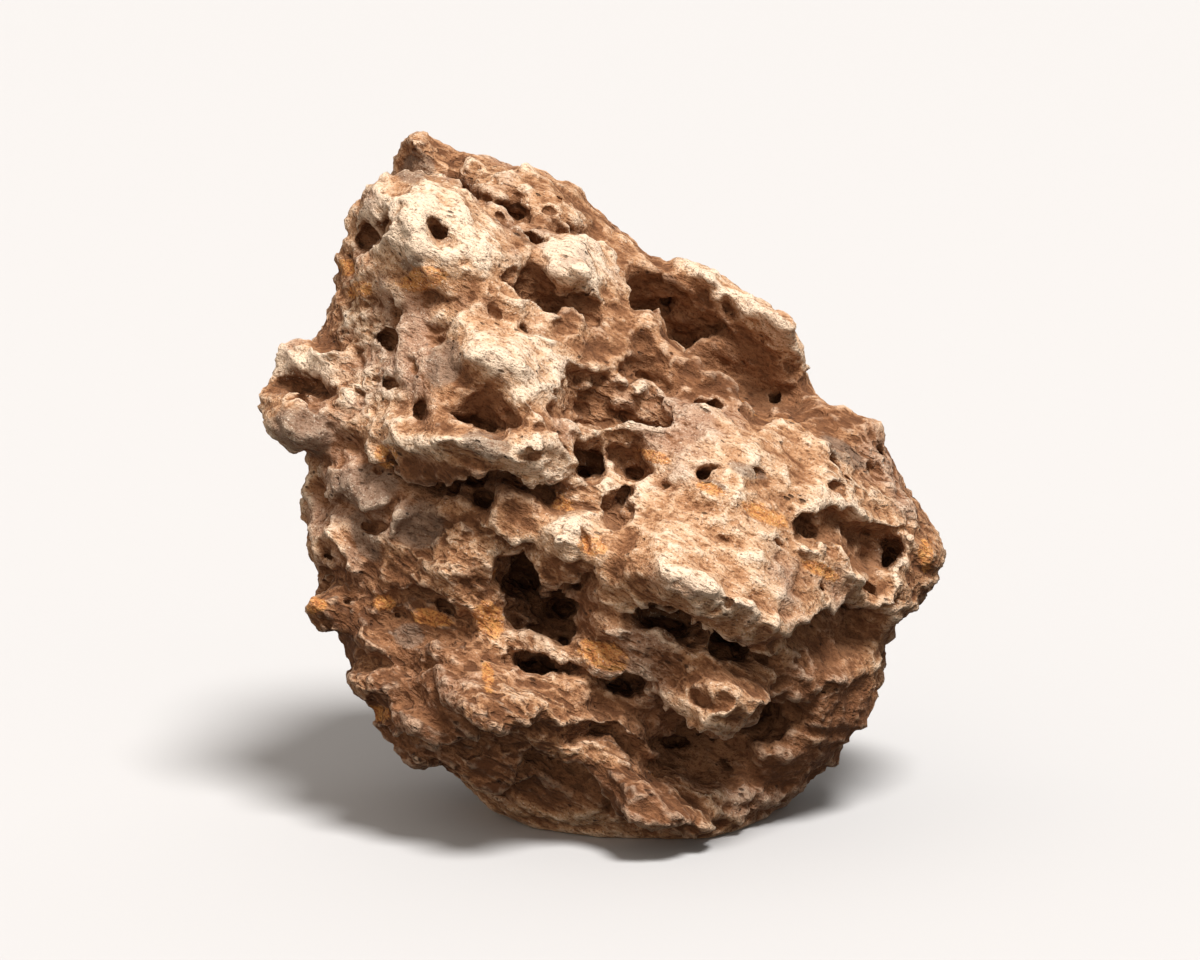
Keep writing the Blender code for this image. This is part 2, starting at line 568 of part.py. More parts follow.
def shape_stone():
    """The whole stone at full detail, in the drawing frame."""
    body = joined([add_mass()] + add_lobes())
    apply_modifier(body, "REMESH", mode="VOXEL", voxel_size=MASS_VOXEL)
    apply_modifier(body, "SMOOTH", factor=0.5, iterations=4)
    push(body, 0, SWELLS.values(), SCOOPS.values(), LIPS.values(), CRESTS.values())
    bores = [
        (0, x, up, (along, across, deep), roll, pitch)
        for x, up, along, across, deep, roll, pitch in FACE_HOLLOWS.values()
    ]
    rng = random.Random(SEED)
    for azimuth, low_x, high_x in HIDDEN_SIDES:
        swells, scoops, lips, side_bores = hidden_relief(azimuth, low_x, high_x, rng)
        push(body, azimuth, swells, scoops, lips)
        bores += side_bores
    apply_modifier(body, "REMESH", mode="VOXEL", voxel_size=FINISH_VOXEL)
    bore_hollows(body, bores)
    apply_modifier(body, "REMESH", mode="VOXEL", voxel_size=FINISH_VOXEL)
    apply_modifier(body, "SMOOTH", factor=0.5, iterations=1)
    keep_outer_skin(body)
    places = coordinates(body)
    lumpy = 2.6 * grain_noise(places, 26, 11, 3, 11.0)
    gritty = 0.7 * grain_noise(places, 7, 3.5, 2, 5.0)
    set_coordinates(body, places + normals(body) * (lumpy + gritty)[:, None])
    return body


def facet(body):
    """Thins the skin to its triangles, and keeps more of them on the face."""
    apply_modifier(body, "TRIANGULATE")
    away = body.vertex_groups.new(name="away_from_the_face")
    for vertex in body.data.vertices:
        share = 0.1 + 0.9 * float(smooth_step(-0.3, 0.4, vertex.normal.y))
        away.add([vertex.index], share, "REPLACE")
    ratio = SURFACE_TRIANGLES / len(body.data.polygons)
    apply_modifier(
        body, "DECIMATE", ratio=ratio, vertex_group=away.name, vertex_group_factor=FACE_FAVOUR
    )
    body.vertex_groups.clear()


def main():
    """Builds the stone."""
    clear_scene()
    group = bpy.data.collections.new("dragon_stone")
    bpy.context.scene.collection.children.link(group)
    body = shape_stone()
    facet(body)
    lay_back = Matrix.Rotation(-math.radians(LAY_BACK), 4, "X")
    body.data.transform(Matrix.Translation((0, -FOOT_DEPTH, 0)) @ lay_back)
    cut_foot(body)
    apply_modifier(body, "TRIANGULATE")
    keep_outer_skin(body)
    body.data.transform(Matrix.Scale(MM, 4))
    body.name = "stone"
    body.data.name = "stone"
    body.data.materials.clear()
    body.data.materials.append(stone_material())
    for holder in list(body.users_collection):
        holder.objects.unlink(body)
    group.objects.link(body)


main()
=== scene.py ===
"""The look of a dragon stone: one weathered lump of clay rock on a pale floor in soft studio light."""

import json
import math
import random

import bpy
import numpy as np
from mathutils import Matrix, Vector, noise
from mathutils.bvhtree import BVHTree

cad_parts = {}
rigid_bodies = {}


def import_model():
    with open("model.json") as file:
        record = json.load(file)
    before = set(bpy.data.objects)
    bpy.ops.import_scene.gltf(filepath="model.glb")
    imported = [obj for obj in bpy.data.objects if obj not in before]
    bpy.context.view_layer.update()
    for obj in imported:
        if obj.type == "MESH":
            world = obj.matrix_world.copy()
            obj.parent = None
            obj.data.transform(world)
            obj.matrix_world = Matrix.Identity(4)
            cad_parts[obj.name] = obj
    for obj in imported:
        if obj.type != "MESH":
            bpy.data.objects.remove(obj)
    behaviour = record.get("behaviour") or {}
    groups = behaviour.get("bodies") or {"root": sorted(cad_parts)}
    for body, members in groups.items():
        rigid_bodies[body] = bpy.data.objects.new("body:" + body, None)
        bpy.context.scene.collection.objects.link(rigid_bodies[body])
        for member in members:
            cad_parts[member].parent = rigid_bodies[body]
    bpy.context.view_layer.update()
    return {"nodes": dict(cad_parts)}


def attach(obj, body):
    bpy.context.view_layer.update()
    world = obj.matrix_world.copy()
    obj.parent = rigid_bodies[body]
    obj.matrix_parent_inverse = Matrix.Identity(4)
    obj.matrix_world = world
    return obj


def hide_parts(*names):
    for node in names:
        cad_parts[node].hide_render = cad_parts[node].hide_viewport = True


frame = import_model()

# ---- The body of the stone -------------------------------------------------------------------
# One lump of hard clay rock that rain and wind have cut into ledges, scallops and pits along its
# slanting bedding. It is worked in millimetres in an upright drawing frame (x to the right, depth
# away, up), and laid back on its flat foot at the end.
LAY_BACK = math.radians(10)
FOOT_DEPTH = 0.030
WELD = 1e-6
BODY_VOXEL = 1.25
BODY_PASSES = 9
SOFTENING = 0.5
SEED = 11
UPRIGHT = (
    Matrix.Scale(1000, 4)
    @ Matrix.Rotation(LAY_BACK, 4, "X")
    @ Matrix.Translation((0, FOOT_DEPTH, 0))
)


def take(piece):
    """Makes a piece the only selected and active one."""
    bpy.ops.object.select_all(action="DESELECT")
    piece.select_set(True)
    bpy.context.view_layer.objects.active = piece


def finish_with(piece, kind, **settings):
    """Adds a modifier with its settings and applies it."""
    take(piece)
    modifier = piece.modifiers.new(kind.lower(), kind)
    for name, value in settings.items():
        setattr(modifier, name, value)
    bpy.ops.object.modifier_apply(modifier=modifier.name)


noise.seed_set(SEED)
stone = bpy.data.objects.new("weathered_stone", frame["nodes"]["stone"].data.copy())
bpy.context.scene.collection.objects.link(stone)
take(stone)
bpy.ops.object.mode_set(mode="EDIT")
bpy.ops.mesh.select_all(action="SELECT")
bpy.ops.mesh.remove_doubles(threshold=WELD)
bpy.ops.object.mode_set(mode="OBJECT")
stone.data.transform(UPRIGHT)
finish_with(stone, "REMESH", mode="VOXEL", voxel_size=BODY_VOXEL)
finish_with(stone, "SMOOTH", factor=SOFTENING, iterations=BODY_PASSES)

# ---- The ledges, hollows and crests of the face ------------------------------------------------
# Soft layers weathered back under harder ones: hollows that sink down to a crisp lower rim or in
# under a lip, ledges with a drop below them, and thin crests between neighbouring hollows.
FACE_VOXEL = 1.0
HEAL_DEPTH = 75
HEAL_FACTOR = 0.9
HEAL_PASSES = 700
BROAD_PASSES = 260
BROAD_GAIN = 0.45
BROAD_LIMIT = 6
HOLLOW_GAIN = 1.25
HOLLOW_SAG = 0.25
LIP_GAIN = 1.25
LIP_SAG = 0.7
LIP_FADE = 2.5
CREST_GAIN = 1.8
HIGHEST_CREST = 4.5
END_TAPER = 6
EDGE_WANDER = 1.3
FOOT_EDGE = (0.3, 4)
TOWARDS_VIEWER = np.array([0, -1.0, 0])

# Where masks ease in, in millimetres inward from an outline, or in half sizes out from an oval.
HEAL_EDGE = (-7.2, -4.0)
BROAD_EDGE = (-2.5, 0.5)
HOLLOW_EDGE = (-0.5, 2.2)
SWELL_EDGE = (0.3, 1.2)
LIP_EDGE = (0, 1.2)

# How far a surface has to turn to the viewer, from -1 to 1, for a mask to ease in.
HEALED_TURN = (-0.1, 0.3)
BROAD_TURN = (-0.7, -0.4)
FACE_TURN = (-0.25, 0.1)

# How far down a hollow its slope runs, and noises: length along the bedding, height across it,
# octaves, seed.
SLOPE_SHARE = 0.85
SIDEWAYS_WANDER = (5, 4, 3, 3.0)
UPWARD_WANDER = (5, 4, 3, 4.0)

# Broad hollows that are filled up to an even face, walls and all, before they are cut again.
BROAD_HOLLOWS = (
    "first_basin", "first_shelf", "first_pocket", "ridge_notch", "second_basin", "brow_scallop",
    "cavern", "twin_left", "twin_right",
)

# Hollows: drop, lean (1 sinks to its lower rim, -1 in under its upper rim), then their outlines as
# (x, up) points.
HOLLOWS = {
    "left_eye": (7, 0.3, [
        (-69, 161), (-67.5, 166.5), (-64, 170), (-60, 172), (-56, 170.5), (-54.5, 167), (-56, 163.5),
        (-59, 161.5), (-64, 160), (-68, 159.5)]),
    "right_eye": (6, 0.5, [
        (-48, 163), (-46.5, 167), (-44, 168), (-41, 166), (-39.5, 163), (-39, 160), (-43, 160.5),
        (-46.5, 161)]),
    "crown_run": (8, 0.4, [
        (-46, 185.5), (-42, 184.5), (-38, 184), (-34.5, 181.5), (-33, 179), (-30, 177), (-26, 176.5),
        (-22, 176), (-19.5, 174), (-20, 171), (-23, 170), (-25.5, 172), (-27.5, 174), (-31, 174.5),
        (-34, 176), (-37, 176.5), (-39.5, 179), (-41.5, 181), (-44.5, 183)]),
    "peak_foot": (5, 0.4, [(-57, 186), (-50, 184), (-46, 185), (-45, 182), (-50, 180), (-57, 181)]),
    "head_back": (6, 0.3, [
        (-63, 181), (-57, 183.5), (-48, 183), (-42, 182), (-39, 179), (-46, 180), (-54, 181), (-60, 179)]),
    "brow_run": (8, 0.3, [
        (-32, 170), (-28.5, 169), (-25.5, 169), (-22, 167.5), (-19, 166), (-15, 165), (-14, 163),
        (-18, 160.5), (-20.5, 161.5), (-23, 163.5), (-25, 166), (-28, 167), (-31, 169)]),
    "ridge_run": (5, 0.8, [
        (-15.5, 173), (-12, 171.5), (-8, 169.5), (-4.5, 168), (-1, 167), (0, 165), (-2.5, 164),
        (-5.5, 164.5), (-8, 165.5), (-11, 167), (-13.5, 169), (-15.5, 171.5)]),
    "brow_scallop": (5.5, 1, [
        (-23, 152), (-21.5, 155.5), (-19.5, 159), (-17, 155.5), (-13, 151.5), (-8, 148.5), (-3, 146),
        (1, 142), (2.5, 138), (-3, 139), (-8, 140.5), (-12.5, 142), (-17, 144), (-21, 146.5),
        (-23, 149.5)]),
    "saddle_pit_left": (3.5, 0.6, [(-30, 143.5), (-26.5, 144), (-25.5, 142), (-28, 140.5), (-30, 141)]),
    "saddle_pit_right": (3.5, 0.6, [
        (-24, 140.5), (-21, 142), (-19, 139), (-15, 137.5), (-10, 137), (-15, 135.5), (-20, 136),
        (-23, 138)]),
    "mouth": (2.5, -0.5, [
        (-55, 147), (-50, 149), (-45, 150.5), (-41, 149), (-37, 146.5), (-41, 145), (-46, 146),
        (-50, 145.5)]),
    "chin": (4, 0.9, [
        (-49, 140), (-46.5, 142.5), (-42.5, 142.5), (-41, 140), (-42.5, 137), (-46.5, 135.5),
        (-48.5, 137)]),
    "column_side": (3, 0, [(-59, 146), (-55, 147), (-54, 141), (-55, 133), (-58, 130), (-60, 138)]),
    "nub_slot": (9, 0.8, [
        (-93, 124), (-90, 127), (-87, 129.5), (-82.5, 129.5), (-79, 127), (-75, 125), (-70, 123),
        (-74, 120), (-77.5, 119), (-79.5, 117), (-81.5, 119.5), (-85, 120), (-88, 121), (-92, 121.5)]),
    "neck_pit": (4.5, 0.6, [
        (-58.5, 124), (-56, 125), (-53.5, 123.5), (-52, 121), (-53.5, 120), (-56, 121.5), (-58, 122.5)]),
    "prow_slit": (4, 0.3, [
        (-50, 119), (-48, 121), (-45.5, 119.5), (-45.5, 116), (-47, 114), (-49, 111.5), (-50, 113)]),
    "prow_hollow": (8, 0.9, [
        (-40, 117), (-38, 120), (-34, 123), (-30.5, 124), (-26.5, 122), (-24, 118.5), (-21.5, 115),
        (-22, 112), (-25, 113), (-27, 113), (-26.5, 109.5), (-28.5, 108.5), (-30.5, 111),
        (-33.5, 112.5), (-37.5, 113.5), (-40, 115.5)]),
    "first_basin": (3.5, 0.7, [
        (3, 160), (10, 160), (15.5, 156.5), (20, 153.5), (24.5, 149), (29.5, 145), (33.5, 143.5),
        (36, 139), (36, 137), (32, 137), (29.5, 136), (24.5, 134), (20.5, 135.5), (17, 137.5),
        (15.5, 140.5), (12.5, 143), (9, 144), (7, 147), (5.5, 153)]),
    "first_shelf": (4, -0.7, [
        (7, 148.5), (11, 148), (16, 148.5), (21, 149), (23, 146), (20, 144.5), (16, 143.5), (12, 142.5),
        (8.5, 144)]),
    "first_pocket": (4, 0, [
        (15.5, 139.5), (20, 139.5), (23, 138.5), (28, 139.5), (32, 140), (35.5, 140), (35.5, 136.5),
        (31, 136.5), (27, 134.5), (22, 134.5), (18, 136)]),
    "ridge_notch": (4, 0.2, [
        (34.5, 150.5), (36, 149.5), (38, 146.5), (39.5, 143.5), (39, 140), (37.5, 139), (36, 141),
        (37, 144), (35.5, 147.5)]),
    "second_basin": (5, 0.9, [
        (21, 132), (26, 135), (31, 136.5), (36, 138), (40, 139), (46, 136), (52, 130), (56, 124),
        (58.5, 120.5), (61.5, 117), (58.5, 117.5), (54, 117.5), (49.5, 118), (46, 116), (42.5, 117),
        (39, 119), (35.5, 122), (31, 125), (26.5, 127.5), (22.5, 129.5)]),
    "crease": (6.5, 0.9, [
        (4, 127), (6, 130), (7.5, 135.5), (9, 138.5), (12.5, 136.5), (15.5, 133), (17, 129),
        (20, 126), (21, 121), (17.5, 122.5), (14.5, 124), (10.5, 125), (8.5, 123), (6, 124.5)]),
    "saddle_hollow": (7.5, 0.9, [
        (-5, 118), (-2, 124), (1, 127.5), (4, 125.5), (7.5, 121.5), (10.5, 123), (15.5, 123.5),
        (19.5, 120.5), (22, 117), (22.5, 113.5), (20, 112.5), (17, 112), (13, 111), (8, 110.5),
        (3.5, 111.5), (0.5, 113.5), (-2, 113)]),
    "saddle_bowl": (5, 0.5, [
        (-15, 121), (-11, 122), (-10, 126), (-5.5, 128), (-2.5, 127.5), (-2, 120), (-3, 113),
        (-5.5, 112), (-8.5, 113), (-12, 113), (-15, 115)]),
    "twin_left": (8, 0.6, [
        (-9, 107), (-5.5, 107.5), (0, 107), (1, 103.5), (0.5, 100), (-2, 97), (-4, 97), (-6.5, 100),
        (-8.5, 103.5)]),
    "twin_right": (7, 0.8, [
        (0.5, 106), (4, 106), (9, 106), (13, 104), (13.5, 100.5), (12, 98), (8.5, 97), (5, 98.5),
        (2.5, 101), (1, 103.5)]),
    "twin_slot": (2.5, -0.5, [(3, 109.5), (8, 109), (13, 107.5), (8, 106.8), (4.5, 107.5)]),
    "twin_end": (3, 0.6, [(12.5, 98), (16, 99.5), (21, 98), (19.5, 95), (14, 95)]),
    "twin_foot": (5, 0.3, [
        (0, 94), (4.5, 95), (9, 90.5), (8, 87), (4.5, 84.5), (1.5, 88), (-0.5, 91)]),
    "dish_top": (3.5, 0.2, [(24, 99.5), (28, 101.5), (33, 100.5), (35.5, 98), (32, 97.5), (26, 97.5)]),
    "dish_left": (2.5, 0.2, [
        (22.5, 98.5), (24, 98), (24.5, 95), (27, 92), (30.5, 89.5), (28.5, 89), (24.5, 91.5),
        (22.5, 94.5)]),
    "plateau_nick": (3, -0.3, [(30, 86), (32, 84.5), (35, 82), (36, 80), (33.5, 80.5), (31, 82.5)]),
    "plateau_shade": (1.5, 0.4, [(39, 95), (44, 95), (50, 92), (54, 89), (50, 89.5), (42, 91)]),
    "shoulder_run": (3.5, -0.2, [(45, 111.5), (49, 111), (52.5, 110), (53, 108), (50, 108), (46.5, 109)]),
    "shoulder_nick": (3, 0.3, [(42, 117), (46, 117), (49, 115.5), (46, 113.5), (43, 113.5)]),
    "end_pit": (2.5, 0.2, [(71, 103), (75, 104), (79, 101), (79, 96), (74, 95.5), (70.5, 98)]),
    "end_hollow": (5.5, -0.2, [
        (52, 85), (54.5, 88.5), (58.5, 90), (63.5, 89.5), (69.5, 87), (74.5, 85), (79, 84.5),
        (80, 74), (76.5, 71), (72.5, 71), (69, 73.5), (66, 77), (62.5, 80), (58.5, 80.5),
        (54.5, 81), (52, 82.5)]),
    "end_corner": (3, 0, [(52.5, 85.5), (55, 87), (58.5, 85), (60, 82), (57, 81), (53.5, 82)]),
    "end_hole": (7, 0.2, [
        (76.5, 81.5), (80, 83), (85, 81.5), (86, 77), (83.5, 73.5), (79.5, 73), (77, 76)]),
    "end_mouth": (4, 0, [(70, 70.5), (74, 71), (78, 69), (76, 66.5), (72.5, 66.5)]),
    "plateau_hole": (3, 0, [(58.5, 70), (61, 70), (61.8, 68), (60.5, 66), (59.5, 68)]),
    "slot_one": (9.5, -0.3, [
        (7.5, 61.5), (12, 64), (18.5, 64.5), (23.5, 62), (27.5, 59), (28.5, 56), (25.5, 54.5),
        (20.5, 55), (15.5, 56.5), (11.5, 58), (8.5, 59.5)]),
    "slot_two": (8.5, -0.3, [
        (30, 53), (34, 56), (37.5, 56.5), (40.5, 53.5), (40.5, 50.5), (42, 47.5), (38, 47.5),
        (34, 49.5), (30.5, 50.5)]),
    "slot_three": (5, -0.3, [(41.5, 50.5), (44.5, 50), (48.5, 47), (48.5, 45), (44.5, 46.5), (42.5, 48.5)]),
    "slot_bed": (2.5, -0.8, [
        (5, 62), (12, 66), (20.5, 63.5), (30.5, 59.5), (39, 56), (43.5, 51.5), (50, 47), (49, 44),
        (40, 46), (30, 49), (20, 53.5), (9, 57.5)]),
    "slab_scoop": (2, 0.3, [
        (9.5, 49.5), (15.5, 52), (23, 50.5), (26, 45.5), (25, 40.5), (20.5, 40), (15, 40.5),
        (11, 44.5)]),
    "cavern": (4.5, -0.2, [
        (-29, 79), (-24, 76.5), (-20.5, 77), (-17, 74), (-15, 72.5), (-12, 71), (-8, 70.5),
        (-2.5, 72), (-1, 70), (-4.5, 68.5), (-8, 68), (-9, 66), (-5.5, 65), (-6, 61), (-8, 58.5),
        (-8, 55), (-10, 52.5), (-12.5, 53.5), (-14, 55), (-19.5, 56.5), (-24.5, 57), (-25.5, 62),
        (-24.5, 66), (-29, 69.5), (-27, 74)]),
    "cavern_mouth": (7, 0, [
        (-22, 74), (-18.5, 73), (-16, 70.5), (-14.5, 68), (-15.5, 65.5), (-19, 65), (-22, 67.5)]),
    "cavern_hole": (8, 0.1, [(-14, 62), (-12, 65), (-8, 65.5), (-5.5, 63), (-7, 60.5), (-11, 59)]),
    "cavern_floor": (6, 0.1, [
        (-23, 60), (-17, 60.5), (-9, 60), (-7.5, 57), (-9.5, 53), (-11.5, 53.5), (-14, 56), (-20, 56.5)]),
    "cup_arch": (4, -0.8, [(-9, 73), (-6, 76.5), (-2, 77), (0.5, 74), (-0.5, 69), (-3, 67.5), (-6, 70)]),
    "cheek_pit": (4, 0, [(-33.5, 84.5), (-31.5, 85.5), (-29.5, 84), (-30.5, 82), (-33, 82)]),
    "cheek_foot": (4, -0.4, [(-30, 83), (-26, 81), (-20, 80.5), (-17, 78), (-20, 76), (-27, 77)]),
    "slate_bowl": (2.5, 0.3, [
        (-56, 81), (-53, 86.5), (-49, 89), (-44, 88), (-41, 84), (-43, 80), (-48, 79), (-52, 79.5)]),
    "flank_dip": (2, 0.3, [(-72, 84), (-68, 81), (-62, 77), (-62, 72), (-65, 73), (-68, 77), (-71, 81)]),
    "left_bowl": (3.5, 0, [
        (-60, 65), (-56, 67.5), (-49, 69), (-43, 67), (-38, 62), (-33.5, 59.5), (-34, 54), (-39, 50.5),
        (-44.5, 51), (-49.5, 51.5), (-56, 52.5), (-60.5, 55.5), (-63, 60)]),
    "bowl_back": (2, -0.3, [(-56, 67), (-49, 68.5), (-44, 66), (-46, 62), (-53, 62.5)]),
    "bowl_pit": (2, 0.2, [(-60, 61), (-55, 62.5), (-52, 60), (-54, 57), (-59, 57.5)]),
    "ledge_pit": (4, 0, [(-47, 47), (-43.5, 48), (-40, 45), (-44.5, 44.5)]),
    "knob_pit": (3.5, 0, [(-74, 56), (-70, 56.5), (-66, 54.5), (-68, 51), (-73, 52)]),
    "low_slot": (6, -0.4, [
        (-26, 49), (-21.5, 50.5), (-16.5, 48.5), (-12.5, 48.5), (-8, 48.5), (-5, 49), (-4.5, 45.5),
        (-8, 44.5), (-14, 44), (-19.5, 45.5), (-23, 47.5)]),
    "low_slot_mid": (7, -0.2, [
        (0, 42), (5, 44), (11.5, 43.5), (12, 38.5), (8.5, 37.5), (5, 39.5), (0.5, 40)]),
    "low_slot_end": (5, -0.2, [(13.5, 37.5), (20, 37), (20, 34.5), (16.5, 34.5)]),
    "layer_nick": (3, 0, [(0.5, 35.5), (2.5, 35), (5, 32), (4, 31), (1.5, 33)]),
    "layer_run": (4, -0.4, [
        (-10, 29.5), (-4, 31), (2, 30.5), (6, 27), (10, 23.5), (9, 21), (4, 24), (-2, 26), (-8, 27)]),
    "under_low_ledge": (4, -0.6, [
        (-44, 25), (-38, 26), (-30, 27), (-24, 27.5), (-19, 27), (-20, 24), (-28, 23), (-36, 22.5),
        (-43, 22.5)]),
    "under_foot": (6, -0.5, [
        (-21, 24), (-16, 23.5), (-11, 21), (-6, 19), (-3, 15), (-1, 11), (-6, 11), (-14, 13), (-21, 17)]),
    "under_prow": (7.5, -0.6, [
        (-58.5, 102.5), (-56, 103), (-52.5, 101), (-49.5, 99), (-46, 99), (-40.5, 99), (-35, 100),
        (-30.5, 101), (-26.5, 100), (-22, 98.5), (-18.5, 97), (-15, 98), (-10, 98.5), (-8, 97),
        (-4.5, 94.5), (-12.5, 92.5), (-17, 94), (-22, 94), (-27, 93), (-28.5, 89.5), (-30.5, 87.5),
        (-33.5, 88), (-34.5, 91.5), (-37.5, 93.5), (-43, 94), (-49, 94.5), (-52.5, 96), (-55, 98.5),
        (-58, 100)]),
    "under_prow_runs": (2.5, -0.3, [
        (-17, 95), (-10, 94), (-4, 93), (0, 90), (-3, 87.5), (-9, 89), (-15, 92)]),
}

# Swells: x, up, half sizes along and across, roll in degrees, rise towards the viewer.
SWELLS = [
    (-46, 166, 23, 14, -14, 5.5), (-8, 157, 11, 7, -30, 3), (-50, 171, 4, 10, 0, 1.5),
    (-24, 128, 16, 8, -32, 2.5), (-34, 140, 8, 4, -10, 1.5),
    (-84, 111, 10, 8, 0, 3.5), (-84, 131, 9, 5, 0, 2.5), (-8, 82, 10, 8, -15, 4), (-23, 88, 9, 7, 0, 3.5),
    (32, 40, 14, 7, -14, 3), (-36, 40, 20, 6, -10, 2), (-12, 67, 5, 2.2, 0, 3.5),
    (30, 94, 5, 2.5, -10, 1.8), (-28, 98, 14, 4, -12, 0.5), (4, 119, 3, 6, -20, 2),
    (-14, 104, 9, 6, -35, 3), (30, 66, 24, 6, -27, 4.5), (24, 143, 6, 3.5, -30, 2.5),
    (-74, 61, 7, 6, 0, 2), (-62, 43, 8, 5, 0, 1.5),
]

# Lips: reach, drop below, width above, width below, then (x, up) points from left to right. Two run
# from right to left, and drop on their upper side.
LIPS = {
    "prow": (2.5, 5, 4, 4, [(-65, 107), (-58, 103), (-52, 101.5), (-46, 99.5), (-38, 99.5), (-30, 101.5),
                            (-25, 100), (-19, 97), (-15, 98), (-8, 99)]),
    "plateau": (2, 4, 5, 3, [(7, 63), (14, 65), (21, 63), (30, 59), (39, 55.5), (44, 50.5), (50, 46.5)]),
    "slab": (2, 7, 4, 5, [(13, 41), (20.5, 35), (24, 33.5), (30.5, 31.5), (34, 31), (38, 32),
                          (41, 35.5), (46, 38), (50, 38)]),
    "cup": (2.5, 5, 3, 3, [(-20, 78), (-18, 75), (-15, 73), (-11.5, 71.5), (-9, 71.5), (-6, 73),
                           (-2.5, 73), (0, 70)]),
    "cheek": (2, 4, 3, 3, [(-34, 91), (-32.5, 86), (-28, 82.5), (-20, 81.5), (-15, 79.5)]),
    "low_ledge": (2, 5, 4, 3, [(-64, 31), (-58, 29.5), (-50, 29), (-42, 28), (-36, 29), (-28, 30.5),
                               (-20, 30)]),
    "low_slope": (1.2, 6, 3, 3, [(-20, 30), (-16, 26.5), (-11.5, 23), (-6.5, 21), (-2.5, 17), (0.5, 13),
                               (4.5, 10), (14, 6.5), (27, 4)]),
    "layer": (1.8, 3, 3, 2.5, [(-38, 42), (-34, 37), (-29, 34), (-24, 32), (-14, 33), (-4, 32.5), (5, 31)]),
    "layer_right": (1.8, 4, 3, 3, [(-1, 31), (5, 30), (10, 24), (17, 19), (24, 13), (33, 8)]),
    "second_ledge": (1.8, 5, 3, 3, [(-46, 24), (-38, 18), (-31, 14), (-24, 16), (-14, 15)]),
    "jaw": (1, 2, 3, 3, [(-60, 149), (-55, 146.5), (-50, 146.5), (-46, 148), (-40, 147), (-36, 146)]),
    "end_wall": (1.5, 4, 3, 4, [(50, 87), (56, 90), (64, 90), (72, 87), (80, 84.5), (88, 84)]),
    "facet": (1.6, 6, 3, 6, [(47, 54), (52, 59), (58, 62), (66, 64), (70, 62), (74, 65), (84, 66)]),
    "low_slots": (1.8, 3, 3, 3, [(-30, 51), (-24, 51.5), (-16, 49.5), (-8, 49.5), (0, 45), (12, 44)]),
    "ledge_step": (1.8, 3, 3, 3, [(-26, 56), (-20, 54), (-17, 52), (-12, 49.5), (-7, 50)]),
    "flank": (2.2, 4, 3, 4, [(-78, 100), (-75, 96.5), (-75, 94), (-71, 92), (-65.5, 90.5), (-60, 90.5),
                             (-54, 94)]),
    "bowl_top": (1.2, 2, 3, 3, [(-66, 66), (-58, 68), (-48, 70), (-40, 66), (-34, 61)]),
    "left_nubs": (1.5, 4, 3, 4, [(-80, 57), (-74, 56.5), (-66, 55), (-60, 51), (-52, 46)]),
    "brow": (1.5, 3, 3, 3, [(-20, 158), (-16, 154), (-9, 149.5), (0, 146.5), (6, 148)]),
    "saddle_lip": (2, 3, 3, 3, [(-12, 128), (-5, 128.5), (3, 127), (8, 122), (14, 124), (22, 118)]),
    "under_cup": (1.2, 3, 3, 3, [(-4, 68), (2, 66), (8, 63)]),
    "basin_lip": (1.5, 4, 3, 3, [(15, 157), (21, 153), (26, 148), (30, 145), (34.5, 144)]),
    "shoulder": (1.5, 2.5, 3, 3, [(42, 119), (50, 118.5), (58, 118), (66, 116)]),
    "dome_back": (2, 7, 4, 3, [(-20, 162), (-24, 166), (-31, 170.5), (-38, 177), (-45, 181),
                               (-54, 182.5), (-62, 181.5), (-68, 176)]),
    "brow_back": (2, 5, 4, 2.5, [(6, 156), (2, 163), (-3, 166), (-9, 167), (-15, 165.5)]),
}

